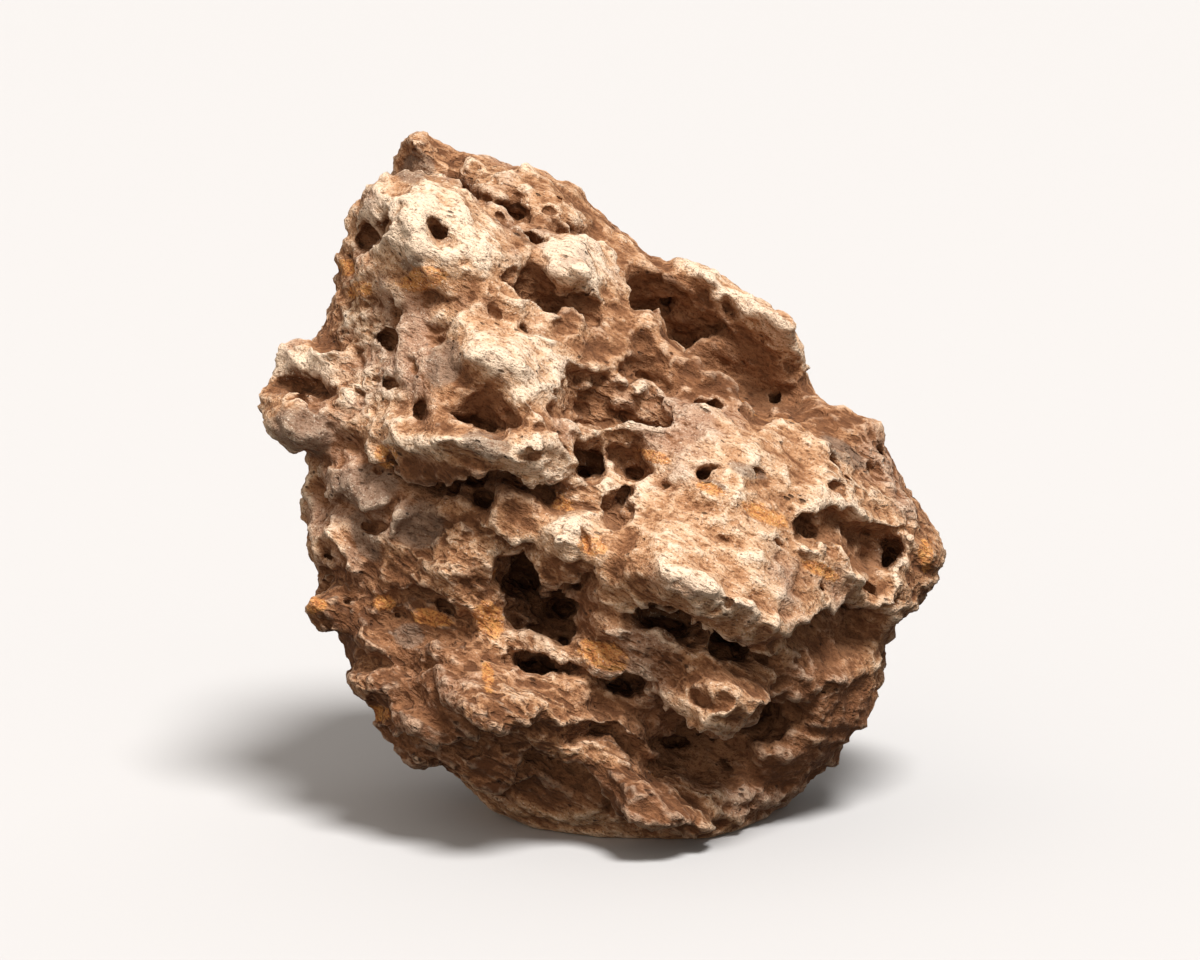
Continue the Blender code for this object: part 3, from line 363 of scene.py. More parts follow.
# Crests: rise, half width, then (x, up) points.
CRESTS = {
    "crown_edge": (2.2, 1.8, [(-44, 188), (-36, 186), (-30, 182), (-24, 180), (-16, 177), (-8, 173),
                              (0, 168.5)]),
    "head_rim": (2, 2, [(-66, 176), (-58, 180), (-48, 181), (-38, 178), (-30, 173), (-22, 169)]),
    "head_edge": (2, 1.6, [(-23, 162), (-21.5, 157), (-23, 152), (-24, 147)]),
    "scallop_rim": (3, 1.5, [(-35, 146), (-26, 147), (-22, 146), (-17, 143), (-12, 141), (-6, 139),
                             (3, 137.5)]),
    "saddle_run": (1.6, 1.5, [(-19, 135), (-12, 135.5), (-6, 136), (0, 133)]),
    "basin_rim": (3, 1.5, [(8, 143.5), (13, 141.5), (16, 136), (20, 130), (26, 126.5), (31, 124),
                           (35, 121), (39, 118), (43, 115.5)]),
    "block_edge": (2.2, 1.4, [(-2, 166), (3, 161), (5.5, 154), (6.5, 148), (8.5, 144)]),
    "upper_ridge": (2.5, 2, [(17, 157), (25, 156), (33, 152), (40, 147), (48, 141), (54, 134),
                             (60, 124)]),
    "prow_keel": (1.6, 2, [(-60, 109), (-46, 107), (-34, 107), (-22, 102), (-14, 101)]),
    "prow_face": (3, 2.4, [(-25, 121), (-20, 116), (-14, 110), (-9, 103), (-8, 99)]),
    "end_rim": (3, 1.5, [(50, 81), (55, 80), (62, 79), (66, 75.5), (70, 71), (72, 66)]),
    "end_post": (2, 1.5, [(88, 84), (86, 79), (82, 72), (79, 66), (78, 58)]),
    "flank_crest": (3.4, 1.3, [(-75, 85), (-72.5, 82), (-70, 78.5), (-67.5, 73.5), (-65, 69)]),
    "slate_rim": (2.8, 1.3, [(-58, 80), (-56, 84), (-54, 87), (-51, 89)]),
    "bowl_rim": (3.6, 1.3, [(-66.5, 61), (-64, 56.5), (-61.5, 53.5), (-58, 51), (-54, 48)]),
    "bowl_foot": (2, 1.2, [(-50, 51), (-44, 50), (-40, 45.5)]),
    "saddle_rim": (2, 1.5, [(-14, 112), (-5, 111), (5, 109.8), (14, 110.2), (22, 112)]),
    "twin_rim": (1.8, 1.3, [(-9, 103), (-7, 99), (-3, 96), (1, 99), (5, 97.5), (9, 96), (14, 98)]),
    "twin_fall": (2, 1.3, [(-1, 98), (2, 95), (-1, 92), (-3, 90)]),
    "crease_rim": (2, 1.4, [(7, 138.5), (11, 139.5), (15, 136), (17, 131), (21, 127)]),
    "nub_crest": (2, 2.2, [(-93, 127), (-88, 131), (-80, 133), (-72, 130)]),
    "nub_rim": (2, 1.3, [(-92, 120.5), (-86, 118.5), (-81, 118), (-76, 118.5), (-72, 119)]),
    "column": (1.8, 1.6, [(-53, 146), (-54, 138), (-53, 131), (-51, 122)]),
    "prow_rib": (1.8, 1.5, [(-41, 112), (-44, 118), (-45, 126), (-41, 134)]),
    "prow_lip": (1.6, 1.4, [(-41, 114), (-35, 111.5), (-31, 107.5), (-25, 108), (-21, 111)]),
    "eye_bridge": (1.5, 2, [(-51, 178), (-52, 170), (-50, 162)]),
    "layer_crest": (2, 1.3, [(-37, 41), (-34, 37.5), (-29, 34.5), (-22, 33), (-14, 34)]),
    "slab_crest": (1.8, 1.6, [(0, 55), (8, 57), (18, 54), (28, 52), (34, 49), (42, 46.5)]),
    "slab_edge": (1.5, 1.4, [(26, 47), (26, 41), (22, 37)]),
    "low_rib": (1.6, 1.3, [(2, 34), (8, 28), (14, 22), (18, 18)]),
    "cavern_shelf": (2.2, 1.2, [(-30, 66), (-24, 64.5), (-16, 66.5), (-9, 67)]),
    "cavern_sill": (1.6, 1.2, [(-24, 62), (-18, 61.5), (-14, 62.5)]),
    "dish_rim": (1.6, 1.2, [(22, 93), (25, 90.5), (30, 88), (36, 91), (37.5, 97), (34, 101)]),
}


def corners(piece):
    """The vertices of a piece as an array."""
    places = np.empty(len(piece.data.vertices) * 3, np.float32)
    piece.data.vertices.foreach_get("co", places)
    return places.reshape(-1, 3).astype(float)


def outward(piece):
    """The vertex normals of a piece as an array."""
    directions = np.empty(len(piece.data.vertices) * 3, np.float32)
    piece.data.vertices.foreach_get("normal", directions)
    return directions.reshape(-1, 3).astype(float)


def place(piece, places):
    """Moves the vertices of a piece."""
    piece.data.vertices.foreach_set("co", places.astype(np.float32).ravel())
    piece.data.update()


def ease(low, high, value):
    """0 below low, 1 above high, an S between them."""
    t = np.clip((value - low) / (high - low), 0, 1)
    return t * t * (3 - 2 * t)


GRAIN_FALL = math.radians(27)
GRAIN_PITCH = math.radians(8)
FRACTAL_DROP = 0.8
LACUNARITY = 2.0
WANDER_SIZE = 1.7
FAR = 1e9
BEDDING = np.array(Matrix.Rotation(GRAIN_FALL, 3, "Y") @ Matrix.Rotation(GRAIN_PITCH, 3, "X"))


def in_grain(places, along, across, seed):
    """Places counted in patches drawn out along the bedding."""
    return places @ BEDDING / np.array([along, along, across]) + seed


def mottle(places, along, across, octaves, seed):
    """Soft noise from about -1 to 1."""
    return np.array([
        noise.fractal(Vector(spot), FRACTAL_DROP, LACUNARITY, octaves)
        for spot in in_grain(places, along, across, seed)
    ])


def scallops(places, along, across, seed, wander=0.3):
    """A patchwork of bowls: 0 at the bottom of each, up to about 1 on the crests between them."""
    heights = []
    for spot in in_grain(places, along, across, seed):
        where = Vector(spot)
        where += wander * noise.noise_vector(where * WANDER_SIZE)
        heights.append(noise.voronoi(where, distance_metric="DISTANCE_SQUARED")[0][0])
    return np.array(heights)


def off_path(x, up, path):
    """The distance from a path (above is positive), and a mask that tapers off at its ends."""
    best = np.full(len(x), FAR)
    along = np.zeros(len(x))
    side = np.ones(len(x))
    run = 0.0
    for (x0, up0), (x1, up1) in zip(path, path[1:]):
        dx, dup = x1 - x0, up1 - up0
        length = math.hypot(dx, dup)
        t = np.clip(((x - x0) * dx + (up - up0) * dup) / length**2, 0, 1)
        away = np.hypot(x - x0 - t * dx, up - up0 - t * dup)
        nearer = away < best
        best = np.where(nearer, away, best)
        along = np.where(nearer, run + t * length, along)
        side = np.where(nearer, np.sign(dx * (up - up0) - dup * (x - x0)), side)
        run += length
    return best * side, ease(0, END_TAPER, along) * ease(0, END_TAPER, run - along)


def within(x, up, centre_x, centre_up, half_along, half_across, roll):
    """How far out a place lies in a turned oval, 1 at its edge."""
    c, s = math.cos(math.radians(roll)), math.sin(math.radians(roll))
    dx, dup = x - centre_x, up - centre_up
    return np.hypot((dx * c + dup * s) / half_along, (dup * c - dx * s) / half_across)


def covered(x, up, ovals, inner, outer):
    """Where any of the ovals lies: 1 within its inner share, 0 beyond its outer share."""
    mask = np.zeros(len(x))
    for oval in ovals:
        mask = np.maximum(mask, 1 - ease(inner, outer, within(x, up, *oval)))
    return mask


def inside(x, up, outline):
    """How far inside an outline a place lies, and its share of the way down to the lower edge."""
    enclosed = np.zeros(len(x), bool)
    edge = np.full(len(x), FAR)
    above = np.full(len(x), FAR)
    below = np.full(len(x), FAR)
    for (x0, up0), (x1, up1) in zip(outline, outline[1:] + outline[:1]):
        dx, dup = x1 - x0, up1 - up0
        t = np.clip(((x - x0) * dx + (up - up0) * dup) / (dx**2 + dup**2), 0, 1)
        edge = np.minimum(edge, np.hypot(x - x0 - t * dx, up - up0 - t * dup))
        if dx:
            gap = up0 + (x - x0) / dx * dup - up
            spans = (x0 > x) != (x1 > x)
            enclosed ^= spans & (gap > 0)
            above = np.where(spans & (gap > 0), np.minimum(above, gap), above)
            below = np.where(spans & (gap <= 0), np.minimum(below, -gap), below)
    return np.where(enclosed, edge, -edge), above / (above + below)


def off_the_floor(places):
    """0 on the foot, 1 from a few millimetres up, so that the foot stays flat."""
    height = places[:, 2] * math.cos(LAY_BACK) - places[:, 1] * math.sin(LAY_BACK)
    return ease(*FOOT_EDGE, height)


def turned_to_viewer(directions, low, high):
    """0 where a surface turns to the viewer by less than low, 1 by more than high, -1 to 1 in all."""
    return ease(low, high, -directions[:, 1])


def softened(piece, *rounds):
    """The vertices and normals that a piece gets after each further round of smoothing passes."""
    soft = piece.copy()
    soft.data = piece.data.copy()
    bpy.context.scene.collection.objects.link(soft)
    stages = []
    for passes in rounds:
        finish_with(soft, "SMOOTH", factor=SOFTENING, iterations=passes)
        stages.append((corners(soft), outward(soft)))
    bpy.data.objects.remove(soft, do_unlink=True)
    return stages


[(broad_places, broad_directions)] = softened(stone, BROAD_PASSES)
heading = broad_directions + TOWARDS_VIEWER
heading /= np.linalg.norm(heading, axis=1)[:, None]
facing = turned_to_viewer(broad_directions, *HEALED_TURN)
not_behind = turned_to_viewer(broad_directions, *BROAD_TURN)

x, depth, up = corners(stone).T
healed = np.zeros(len(x))
for name, (_, _, outline) in HOLLOWS.items():
    inset, _ = inside(x, up, outline)
    mask = ease(*HEAL_EDGE, inset) * facing
    if name in BROAD_HOLLOWS:
        mask = np.maximum(mask, ease(*BROAD_EDGE, inset) * not_behind)
    healed = np.maximum(healed, mask)
healed *= depth < HEAL_DEPTH
group = stone.vertex_groups.new(name="healed")
for index in np.flatnonzero(healed > 0.01):
    group.add([int(index)], float(healed[index]), "REPLACE")
finish_with(stone, "SMOOTH", factor=HEAL_FACTOR, iterations=HEAL_PASSES, vertex_group=group.name)
stone.vertex_groups.clear()
broad = (corners(stone) - broad_places)[:, 1]

places = corners(stone)
x, _, up = places.T
facing = turned_to_viewer(outward(stone), *FACE_TURN) * off_the_floor(places)
x = x + EDGE_WANDER * mottle(places, *SIDEWAYS_WANDER)
up = up + EDGE_WANDER * mottle(places, *UPWARD_WANDER)
swell = np.zeros(len(x))
sag = np.zeros(len(x))
for *oval, rise in SWELLS:
    swell += rise * (1 - ease(*SWELL_EDGE, within(x, up, *oval)))
lift = swell - BROAD_GAIN * np.clip(broad, -BROAD_LIMIT, BROAD_LIMIT)
for drop, lean, outline in HOLLOWS.values():
    inset, share = inside(x, up, outline)
    lower = share if lean > 0 else 1 - share
    slope = 1 - abs(lean) + abs(lean) * ease(0, SLOPE_SHARE, lower)
    sunk = slope * ease(*HOLLOW_EDGE, inset)
    lift -= HOLLOW_GAIN * drop * sunk
    sag += HOLLOW_SAG * drop * min(lean, 0) * sunk
for reach, drop, above, below, path in LIPS.values():
    off, taper = off_path(x, up, path)
    over = reach * np.exp(-np.maximum(off, 0) / above)
    under = -drop * np.exp(-np.maximum(-off, 0) / below) * ease(*LIP_EDGE, -off)
    lift += LIP_GAIN * taper * np.where(off > 0, over, under)
    hang = LIP_SAG * reach * np.exp(-np.maximum(off, 0) / LIP_FADE)
    sag += taper * np.where(off > 0, hang, 0)
for rise, half_width, path in CRESTS.values():
    off, taper = off_path(x, up, path)
    lift += CREST_GAIN * taper * rise * np.exp(-np.abs(off) / half_width)
lift = np.minimum(lift, HIGHEST_CREST + swell)
places += heading * (lift * facing)[:, None]
places[:, 2] -= sag * facing
place(stone, places)
finish_with(stone, "REMESH", mode="VOXEL", voxel_size=FACE_VOXEL)

# ---- The pits ----------------------------------------------------------------------------------
# Holes and slots where softer nodules have washed out: the named ones sit on the face, and
# smaller ones are strewn over the whole stone along its bedding.

# Pits of the face: x, up, half sizes along, across and deep, roll, pitch (up is positive).
PITS = [
    (-64, 165.5, 5.5, 3.2, 7, 15, -25), (-60, 168, 3, 2, 4, 60, -25), (-43.5, 164, 4.4, 2.6, 6, -18, -25),
    (-38.5, 179.6, 4.5, 1.5, 6, -25, -20), (-31, 176, 4.5, 1.5, 5, -20, -20),
    (-23.5, 172.8, 4.4, 2.2, 6, -20, -20), (-26, 168.6, 4.5, 1.3, 4, -35, -20),
    (-19, 164, 4.8, 2.1, 6, -22, -20), (-8, 168.5, 6, 1.2, 4, -28, -20), (0, 163.5, 4, 1, 3, -35, -20),
    (-16, 181, 2.5, 0.9, 3, -12, -20), (-13, 176, 3.4, 0.9, 3, -25, -20),
    (-53, 145.5, 2.5, 0.8, 3, 20, -10), (-46, 147, 3.5, 0.8, 3, 5, -10), (-39, 147, 2.5, 0.8, 3, -25, -10),
    (-29, 142, 2, 1.5, 4, 0, -25), (-21, 139, 2.4, 1.8, 5, -40, -25),
    (-45, 136.5, 3.4, 1.8, 4, 25, -25), (-82, 120, 7, 1.8, 7, -14, -25), (-78, 118, 2.4, 2, 6, 0, -25),
    (-61, 125, 1.6, 1.2, 3, 0, -20), (-56, 123, 3.2, 1.8, 5, -35, -20), (-52, 130, 1.6, 1.2, 3, 0, -20),
    (-54.5, 133, 1.2, 1, 3, 0, -20), (-46, 127, 1.6, 1, 3, 30, -20), (-48, 124, 1.2, 1, 3, 0, -20),
    (-48, 115.5, 1.6, 4.2, 5, -14, -20), (-33, 113.5, 6, 2, 7, -14, -25), (-28, 111, 2.6, 2.4, 8, -50, -25),
    (11, 114, 8.5, 1.8, 6, -8, -25), (-13, 119, 1.6, 1.3, 4, 0, -25), (-10, 124, 1.8, 1.3, 4, 0, -25),
    (12, 126, 4, 1.4, 5, -30, -25), (8, 108.5, 4, 0.9, 3, -10, -20), (16.5, 106, 1, 1, 3, 0, -20),
    (20.5, 106, 1, 1, 3, 0, -20), (-3, 100, 3.4, 1.7, 7, -10, -20), (8, 99.8, 4.6, 1.4, 6, -8, -20),
    (17, 97.5, 3, 1, 2.5, -10, -20), (28.5, 99.5, 3, 1.6, 6, -4, -25), (27, 92, 3.6, 0.9, 3, -30, -20),
    (32.5, 83, 3.6, 0.9, 3, -50, -20), (60, 68.5, 2, 1.4, 5, -10, -10), (46.5, 64.5, 7.5, 0.5, 2, -27, 0),
    (48.5, 68, 5.5, 0.45, 2, -38, 0), (74, 101, 1.4, 1.6, 5, 0, -15), (71, 103, 0.8, 0.8, 2.5, 0, -15),
    (77, 98, 1, 1, 2.5, 0, -15), (78.5, 101, 0.8, 0.8, 2.5, 0, -15), (49, 110.5, 4.4, 1, 3.5, -18, -20),
    (57, 112, 1.6, 0.8, 3, -20, -20), (71, 108, 1.4, 0.8, 3, -20, -20), (81, 77.5, 3.8, 3.4, 9, 10, -20),
    (56, 82.5, 2, 1.4, 5, -20, -20), (74, 68.5, 4.5, 1.4, 5, -15, -10), (64, 79.5, 7, 1.2, 5, -30, -25),
    (12, 144.5, 3.6, 1, 5, -15, -25), (19, 146, 2.4, 1.2, 5, 0, -25), (19.5, 138, 2.8, 1.2, 5, -10, -25),
    (25.5, 136, 2.8, 1.2, 5, -10, -25), (33, 138.5, 2.2, 1.4, 5, 10, -25), (50.5, 122, 2.1, 2, 6, 0, -20),
    (37, 145, 4.4, 1.3, 5, -68, -20), (-57, 102, 3.5, 1.2, 5, -10, 20), (-50, 97.5, 3, 1.3, 5, -10, 15),
    (-40, 96.5, 4, 1.3, 5, -5, 15), (-32, 98, 3.6, 2.4, 7, -20, 15), (-30, 92, 3.2, 3, 8, 0, 0),
    (-16, 95, 7, 1.4, 6, -8, 15), (5, 93, 2.8, 3.4, 5, -30, -10), (-32, 83.5, 2, 1.3, 4, 0, -20),
    (-20, 69.5, 6, 1.8, 7, -20, -10), (-7, 70.5, 4.6, 1.3, 6, 5, 10), (-10, 62.5, 3.4, 2.6, 9, 0, -15),
    (-16, 57.5, 5, 1.6, 7, -8, 0), (-10, 55, 1.8, 1.6, 5, 0, -15), (17, 58.5, 9, 2.4, 9, -14, 15),
    (27, 56.5, 2.6, 1.8, 6, -20, 10), (35, 52.5, 5, 2.2, 8, -30, 12), (44.5, 48.5, 3.6, 1.1, 5, -35, 10),
    (33, 43, 1.1, 0.9, 3, 0, -10), (37, 43.3, 1.1, 0.9, 3, 0, -10), (28.5, 46, 0.9, 0.9, 2.5, 0, -10),
    (-16, 45.5, 8.5, 1.6, 7, -20, 15), (5, 40, 6, 2, 8, -18, 12), (17, 36, 2.6, 1.2, 5, -5, 10),
    (3, 33, 2.8, 0.9, 4, -45, 10), (-3, 27.5, 7.5, 1.2, 6, -12, 15), (-36, 24.5, 7, 1.1, 5, 0, 15),
    (-22, 26, 4.5, 1, 5, 20, 15), (-45, 46, 3, 1.3, 5, -8, -15), (-37.5, 35.5, 2.6, 0.7, 4, -4, 0),
    (-55, 61, 1.6, 1.4, 4, 0, -20), (-70, 64, 1.6, 1.4, 4, 0, -20), (-76, 72.5, 4.5, 1.5, 6, 20, 0),
    (-72, 49, 3.5, 1.8, 6, -20, 0), (-64, 86, 1.2, 0.9, 3, 0, -15), (-57, 74, 1.4, 1, 3, 0, -15),
    (-40, 74, 1.6, 1, 3, -10, -15), (-36, 70, 2.4, 0.8, 3, -20, -15), (-52, 71, 3.2, 0.8, 3, -15, -15),
    (0, 78, 1.2, 0.9, 3, 0, -20), (16, 84, 1.6, 0.7, 2.5, -30, -20), (22, 74, 1.8, 0.7, 2.5, -35, -20),
    (44, 92, 1.4, 0.8, 2.5, -20, -20), (56, 96, 1.6, 0.8, 2.5, -25, -20), (66, 93, 1.2, 0.8, 2.5, 0, -20),
    (38, 104, 1.2, 0.8, 2.5, -20, -20), (26, 112, 1.8, 0.8, 3, -25, -20), (31, 118, 1.4, 0.8, 3, -25, -20),
    (-60, 112, 2.2, 1, 3, 0, -10), (-66, 132, 2, 1.1, 3, 30, -20), (-68, 140, 2.2, 1, 3, 50, -20),
    (-62, 143, 1.4, 1, 3, 0, -20), (-71, 126, 1.6, 1, 3, 0, -20), (-66, 120, 1.8, 1, 3, 20, -20),
    (55, 47, 3, 1.4, 5, -20, 10), (62, 40, 3.6, 1.6, 6, -15, 10), (22, 24, 4, 1.6, 6, -20, 15),
    (34, 18, 3.6, 1.4, 6, -25, 15), (-28, 12, 4, 1.2, 6, -10, 15), (12, 14, 3.4, 0.9, 4, -25, 10),
]
STREWN_PITS = 300
STREWN_ACROSS = (-75, 75)
STREWN_UP = (6, 178)
STREWN_LENGTH = (0.9, 2.6)
STREWN_PITCH = -15
PEBBLE_UNEVEN = 0.28
PEBBLE_LUMPS = 1.4
STONE_AXIS = Vector((4, 24, 0))
FAR_IN_FRONT = -300
CUTTER_VOXEL = 0.55


def pit_cutter(middle, half_sizes, turn):
    """A closed, slightly uneven pebble that will be cut out of the stone."""
    bpy.ops.mesh.primitive_ico_sphere_add(subdivisions=2, radius=1)
    pebble = bpy.context.object
    for vertex in pebble.data.vertices:
        spot = vertex.co * PEBBLE_LUMPS + middle * 0.41
        uneven = 1 + PEBBLE_UNEVEN * noise.fractal(spot, FRACTAL_DROP, LACUNARITY, 2)
        grown = Vector(a * b * uneven for a, b in zip(vertex.co, half_sizes))
        vertex.co = middle + turn @ grown
    return pebble


def look_from(azimuth, x, up):
    """Where an eye at that azimuth first meets the stone, and the turn to its frame."""
    heading = Matrix.Rotation(math.radians(azimuth), 3, "Z")
    start = STONE_AXIS + heading @ (Vector((x, FAR_IN_FRONT, up)) - STONE_AXIS)
    return skin.ray_cast(start, heading @ Vector((0, 1, 0)))[0], heading


rng = random.Random(SEED)
strewn = []
for _ in range(STREWN_PITS):
    azimuth = rng.uniform(0, 360)
    fall = -math.degrees(GRAIN_FALL) * math.cos(math.radians(azimuth))
    along = rng.uniform(*STREWN_LENGTH) * rng.choice((1, 1, 1.6))
    strewn.append((
        azimuth, rng.uniform(*STREWN_ACROSS), rng.uniform(*STREWN_UP), along,
        along * rng.uniform(0.35, 0.7), along * rng.uniform(1.2, 2.2), fall + rng.uniform(-18, 18),
        STREWN_PITCH,
    ))
skin = BVHTree.FromObject(stone, bpy.context.evaluated_depsgraph_get())
cutters = []
for azimuth, x, up, along, across, deep, roll, pitch in [(0, *pit) for pit in PITS] + strewn:
    middle, heading = look_from(azimuth, x, up)
    if middle is not None:
        roll_turn = Matrix.Rotation(-math.radians(roll), 3, "Y")
        pitch_turn = Matrix.Rotation(math.radians(pitch), 3, "X")
        turn = heading @ roll_turn @ pitch_turn
        cutters.append(pit_cutter(middle, (along, deep, across), turn))
bpy.ops.object.select_all(action="DESELECT")
for cutter in cutters:
    cutter.select_set(True)
bpy.context.view_layer.objects.active = cutters[0]
bpy.ops.object.join()
pits = bpy.context.view_layer.objects.active
finish_with(pits, "REMESH", mode="VOXEL", voxel_size=CUTTER_VOXEL)
finish_with(stone, "BOOLEAN", operation="DIFFERENCE", object=pits, solver="EXACT")
bpy.data.objects.remove(pits, do_unlink=True)

# ---- The weathered skin ------------------------------------------------------------------------
# Rain works the rock all over: bowls of three sizes meet in crisp crests, thin beds step out of
# the sides, and the whole skin is gritty. Hard smooth plates on the face are worked less.
SKIN_VOXEL = 0.85
SKIN_TRIANGLES = 190000
SHARPEN = 0.5
SHARPEN_PASSES = 3
PLATE_SHELTER = 0.72
BED_HEIGHT = 6.5
BED_RELIEF = 1.1
BOWL_RELIEF = 1.6
LUMP_RELIEF = 0.55
GRIT_RELIEF = 0.20
LOW_LAYERS = (20, 60)
DECIMATE_PULL = 0.4

# Bowls of three sizes: length along the bedding, height across it, seed. What lies above the level
# rises, and what lies below it sinks.
BROAD_BOWLS = (15, 7.0, 5.0)
MIDDLE_BOWLS = (5.5, 2.6, 7.0)
FINE_BOWLS = (2.5, 1.5, 9.0)
BOWL_LEVEL = 0.35

# Noises: length along the bedding, height across it, octaves, seed.
CRUMBLE_PATCHES = (26, 18, 2, 17.0)
BED_PATCHES = (40, 24, 2, 21.0)
BED_BENDS = (30, 18, 2, 31.0)
LUMPS = (8, 4, 3, 11.0)
GRIT = (2.2, 1.5, 2, 13.0)

# Where masks ease in, in turn to the viewer or in half sizes out from an oval.
PLATE_TURN = (0.0, 0.5)
PLATE_EDGE = (0.7, 1.25)
CRUMBLE_EDGE = (0.6, 1.3)

# Warps that make every outline uneven: reach, size, seed.
WARPS = [(2.6, 15, 61.0), (1.2, 6.5, 67.0), (0.5, 3.0, 71.0)]

# Crumbly beds, worked more than the rest: x, up, half sizes along and across, roll.
CRUMBLE = [
    (-66, 132, 10, 20, 0), (-46, 58, 24, 14, 0), (-28, 50, 20, 7, -15), (-60, 40, 16, 12, 0),
    (-25, 66, 14, 12, 0), (-10, 30, 34, 10, -20), (8, 48, 16, 8, -20), (-40, 78, 18, 8, 0),
    (88, 74, 9, 18, 0), (74, 100, 12, 10, -30), (-30, 20, 24, 9, 0), (0, 92, 14, 5, -20),
    (-47, 188, 10, 5, -20), (-36, 186, 14, 4, -20), (-70, 66, 12, 10, 0), (6, 118, 18, 9, -10),
]

# Hard plates: x, up, half sizes along and across, roll.
PLATES = [
    (45, 92, 46, 17, -25), (-45, 168, 22, 11, -14), (-24, 128, 18, 8, -32), (-6, 158, 12, 8, -30),
    (-50, 112, 14, 5, -6), (66, 54, 16, 8, 16), (-8, 84, 9, 8, -10), (-22, 87, 8, 6, 0),
    (-48, 137, 7, 8, 0), (28, 43, 16, 6, -18), (-80, 110, 9, 8, 0),
]


def bowls(places, size):
    """The relief of one size of bowls, from about -0.35 to 0.65."""
    return np.minimum(scallops(places, *size), 1) - BOWL_LEVEL


finish_with(stone, "REMESH", mode="VOXEL", voxel_size=SKIN_VOXEL)
places = corners(stone)
for reach, size, seed in WARPS:
    pushes = np.array([noise.noise_vector(Vector(spot)) for spot in places / size + seed])
    places = places + reach * pushes * off_the_floor(places)[:, None]
place(stone, places)
x, _, up = places.T
facing = turned_to_viewer(outward(stone), *PLATE_TURN)
plate = facing * covered(x, up, PLATES, *PLATE_EDGE)
crumbly = 0.5 * (1 - facing) * ease(-0.1, 0.5, mottle(places, *CRUMBLE_PATCHES))
crumbly = np.maximum(crumbly, facing * covered(x, up, CRUMBLE, *CRUMBLE_EDGE))
worked = 1 - PLATE_SHELTER * plate
uneven = mottle(places, *BED_PATCHES)
beds = (places @ BEDDING)[:, 2] / BED_HEIGHT + 0.8 * mottle(places, *BED_BENDS)
step = beds - np.floor(beds)
bed_step = ease(0, 0.75, step) * (1 - ease(0.86, 1.0, step)) - 0.5
bedded = 0.30 + 0.70 * np.maximum(1 - facing, 1 - ease(*LOW_LAYERS, up))
relief = (
    BOWL_RELIEF * worked * bowls(places, BROAD_BOWLS)
    + (0.10 + 0.35 * worked + 0.6 * crumbly) * bowls(places, MIDDLE_BOWLS)
    + (0.22 + 0.45 * crumbly) * bowls(places, FINE_BOWLS)
    + BED_RELIEF * bedded * worked * bed_step * ease(-0.3, 0.4, uneven)
    + LUMP_RELIEF * mottle(places, *LUMPS)
    + GRIT_RELIEF * mottle(places, *GRIT)
)
place(stone, places + outward(stone) * (relief * off_the_floor(places))[:, None])
[(soft_places, _)] = softened(stone, SHARPEN_PASSES)
place(stone, corners(stone) + SHARPEN * (corners(stone) - soft_places))
finish_with(stone, "TRIANGULATE")

# Triangles are saved on the sides that turn away from the viewer first.
away = stone.vertex_groups.new(name="away_from_the_face")
for vertex, share in zip(stone.data.vertices, 0.1 + 0.9 * ease(-0.2, 0.5, outward(stone)[:, 1])):
    away.add([vertex.index], float(share), "REPLACE")
ratio = min(1, SKIN_TRIANGLES / len(stone.data.polygons))
finish_with(
    stone, "DECIMATE", ratio=ratio, vertex_group=away.name, vertex_group_factor=DECIMATE_PULL
)
stone.vertex_groups.clear()

# Crumbs that hang on to nothing are taken away.
bpy.ops.object.mode_set(mode="EDIT")
bpy.ops.mesh.select_all(action="DESELECT")
bpy.ops.object.mode_set(mode="OBJECT")
stone.data.vertices[int(np.argmax(corners(stone)[:, 0]))].select = True
bpy.ops.object.mode_set(mode="EDIT")
bpy.ops.mesh.select_linked()
bpy.ops.mesh.select_all(action="INVERT")
bpy.ops.mesh.delete(type="VERT")
bpy.ops.object.mode_set(mode="OBJECT")

# ---- The colour of the stone -------------------------------------------------------------------
# Dry clay rock: a pale cream crust on the crests, lightened further by a painted highlight, tan and
# mauve-brown flanks, dark brown hollows where dirt has settled, darkened further by painted shade,
# and rust and slate stains from iron and from the darker beds.
SKY_RAYS = 20
SKY_REACH = 22.0
SKY_CLEARANCE = 0.25
TINY = 1e-9
CREST_PASSES = 14
ROUNDING_PASSES = 70
TONE_DRIFT = 0.7
TONE_MEAN = -0.1
TONE_PATCHES = (34, 20, 2, 81.0)
STAIN_PATCHES = (22, 13, 2)
PAINT_TURN = (0.0, 0.35)
TONE_EDGE = (0.5, 1.3)
EARTH_AND_SHADE_EDGE = (-1.0, 2.0)
STAIN_EDGE = (0.4, 1.35)
WIRY_EDGE = (0.6, 1.4)

# Hollows that hold dark earth with painted shade over it, and how dark it is.
EARTH_AND_SHADE_HOLLOWS = {
    "left_eye": 0.5, "right_eye": 0.5, "crown_run": 1, "brow_run": 1, "ridge_run": 0.8, "peak_foot": 0.4,
    "head_back": 0.6, "nub_slot": 0.8, "prow_slit": 0.7, "prow_hollow": 0.25, "twin_left": 0.6,
    "twin_right": 0.5, "twin_foot": 0.4, "twin_slot": 0.6, "under_prow": 0.9, "under_prow_runs": 0.4,
    "slot_one": 1, "slot_two": 1, "slot_three": 0.9, "cavern": 0.6, "cavern_mouth": 1,
    "cavern_hole": 1, "cavern_floor": 0.6, "low_slot": 1, "low_slot_mid": 1, "low_slot_end": 0.8,
    "layer_run": 0.7, "under_foot": 0.7, "under_low_ledge": 0.6, "end_hole": 0.8, "end_hollow": 0.3,
    "cheek_foot": 0.5, "first_pocket": 0.5, "first_shelf": 0.5, "ridge_notch": 0.6, "crease": 0.4,
    "saddle_pit_right": 0.5, "shoulder_run": 0.6,
}
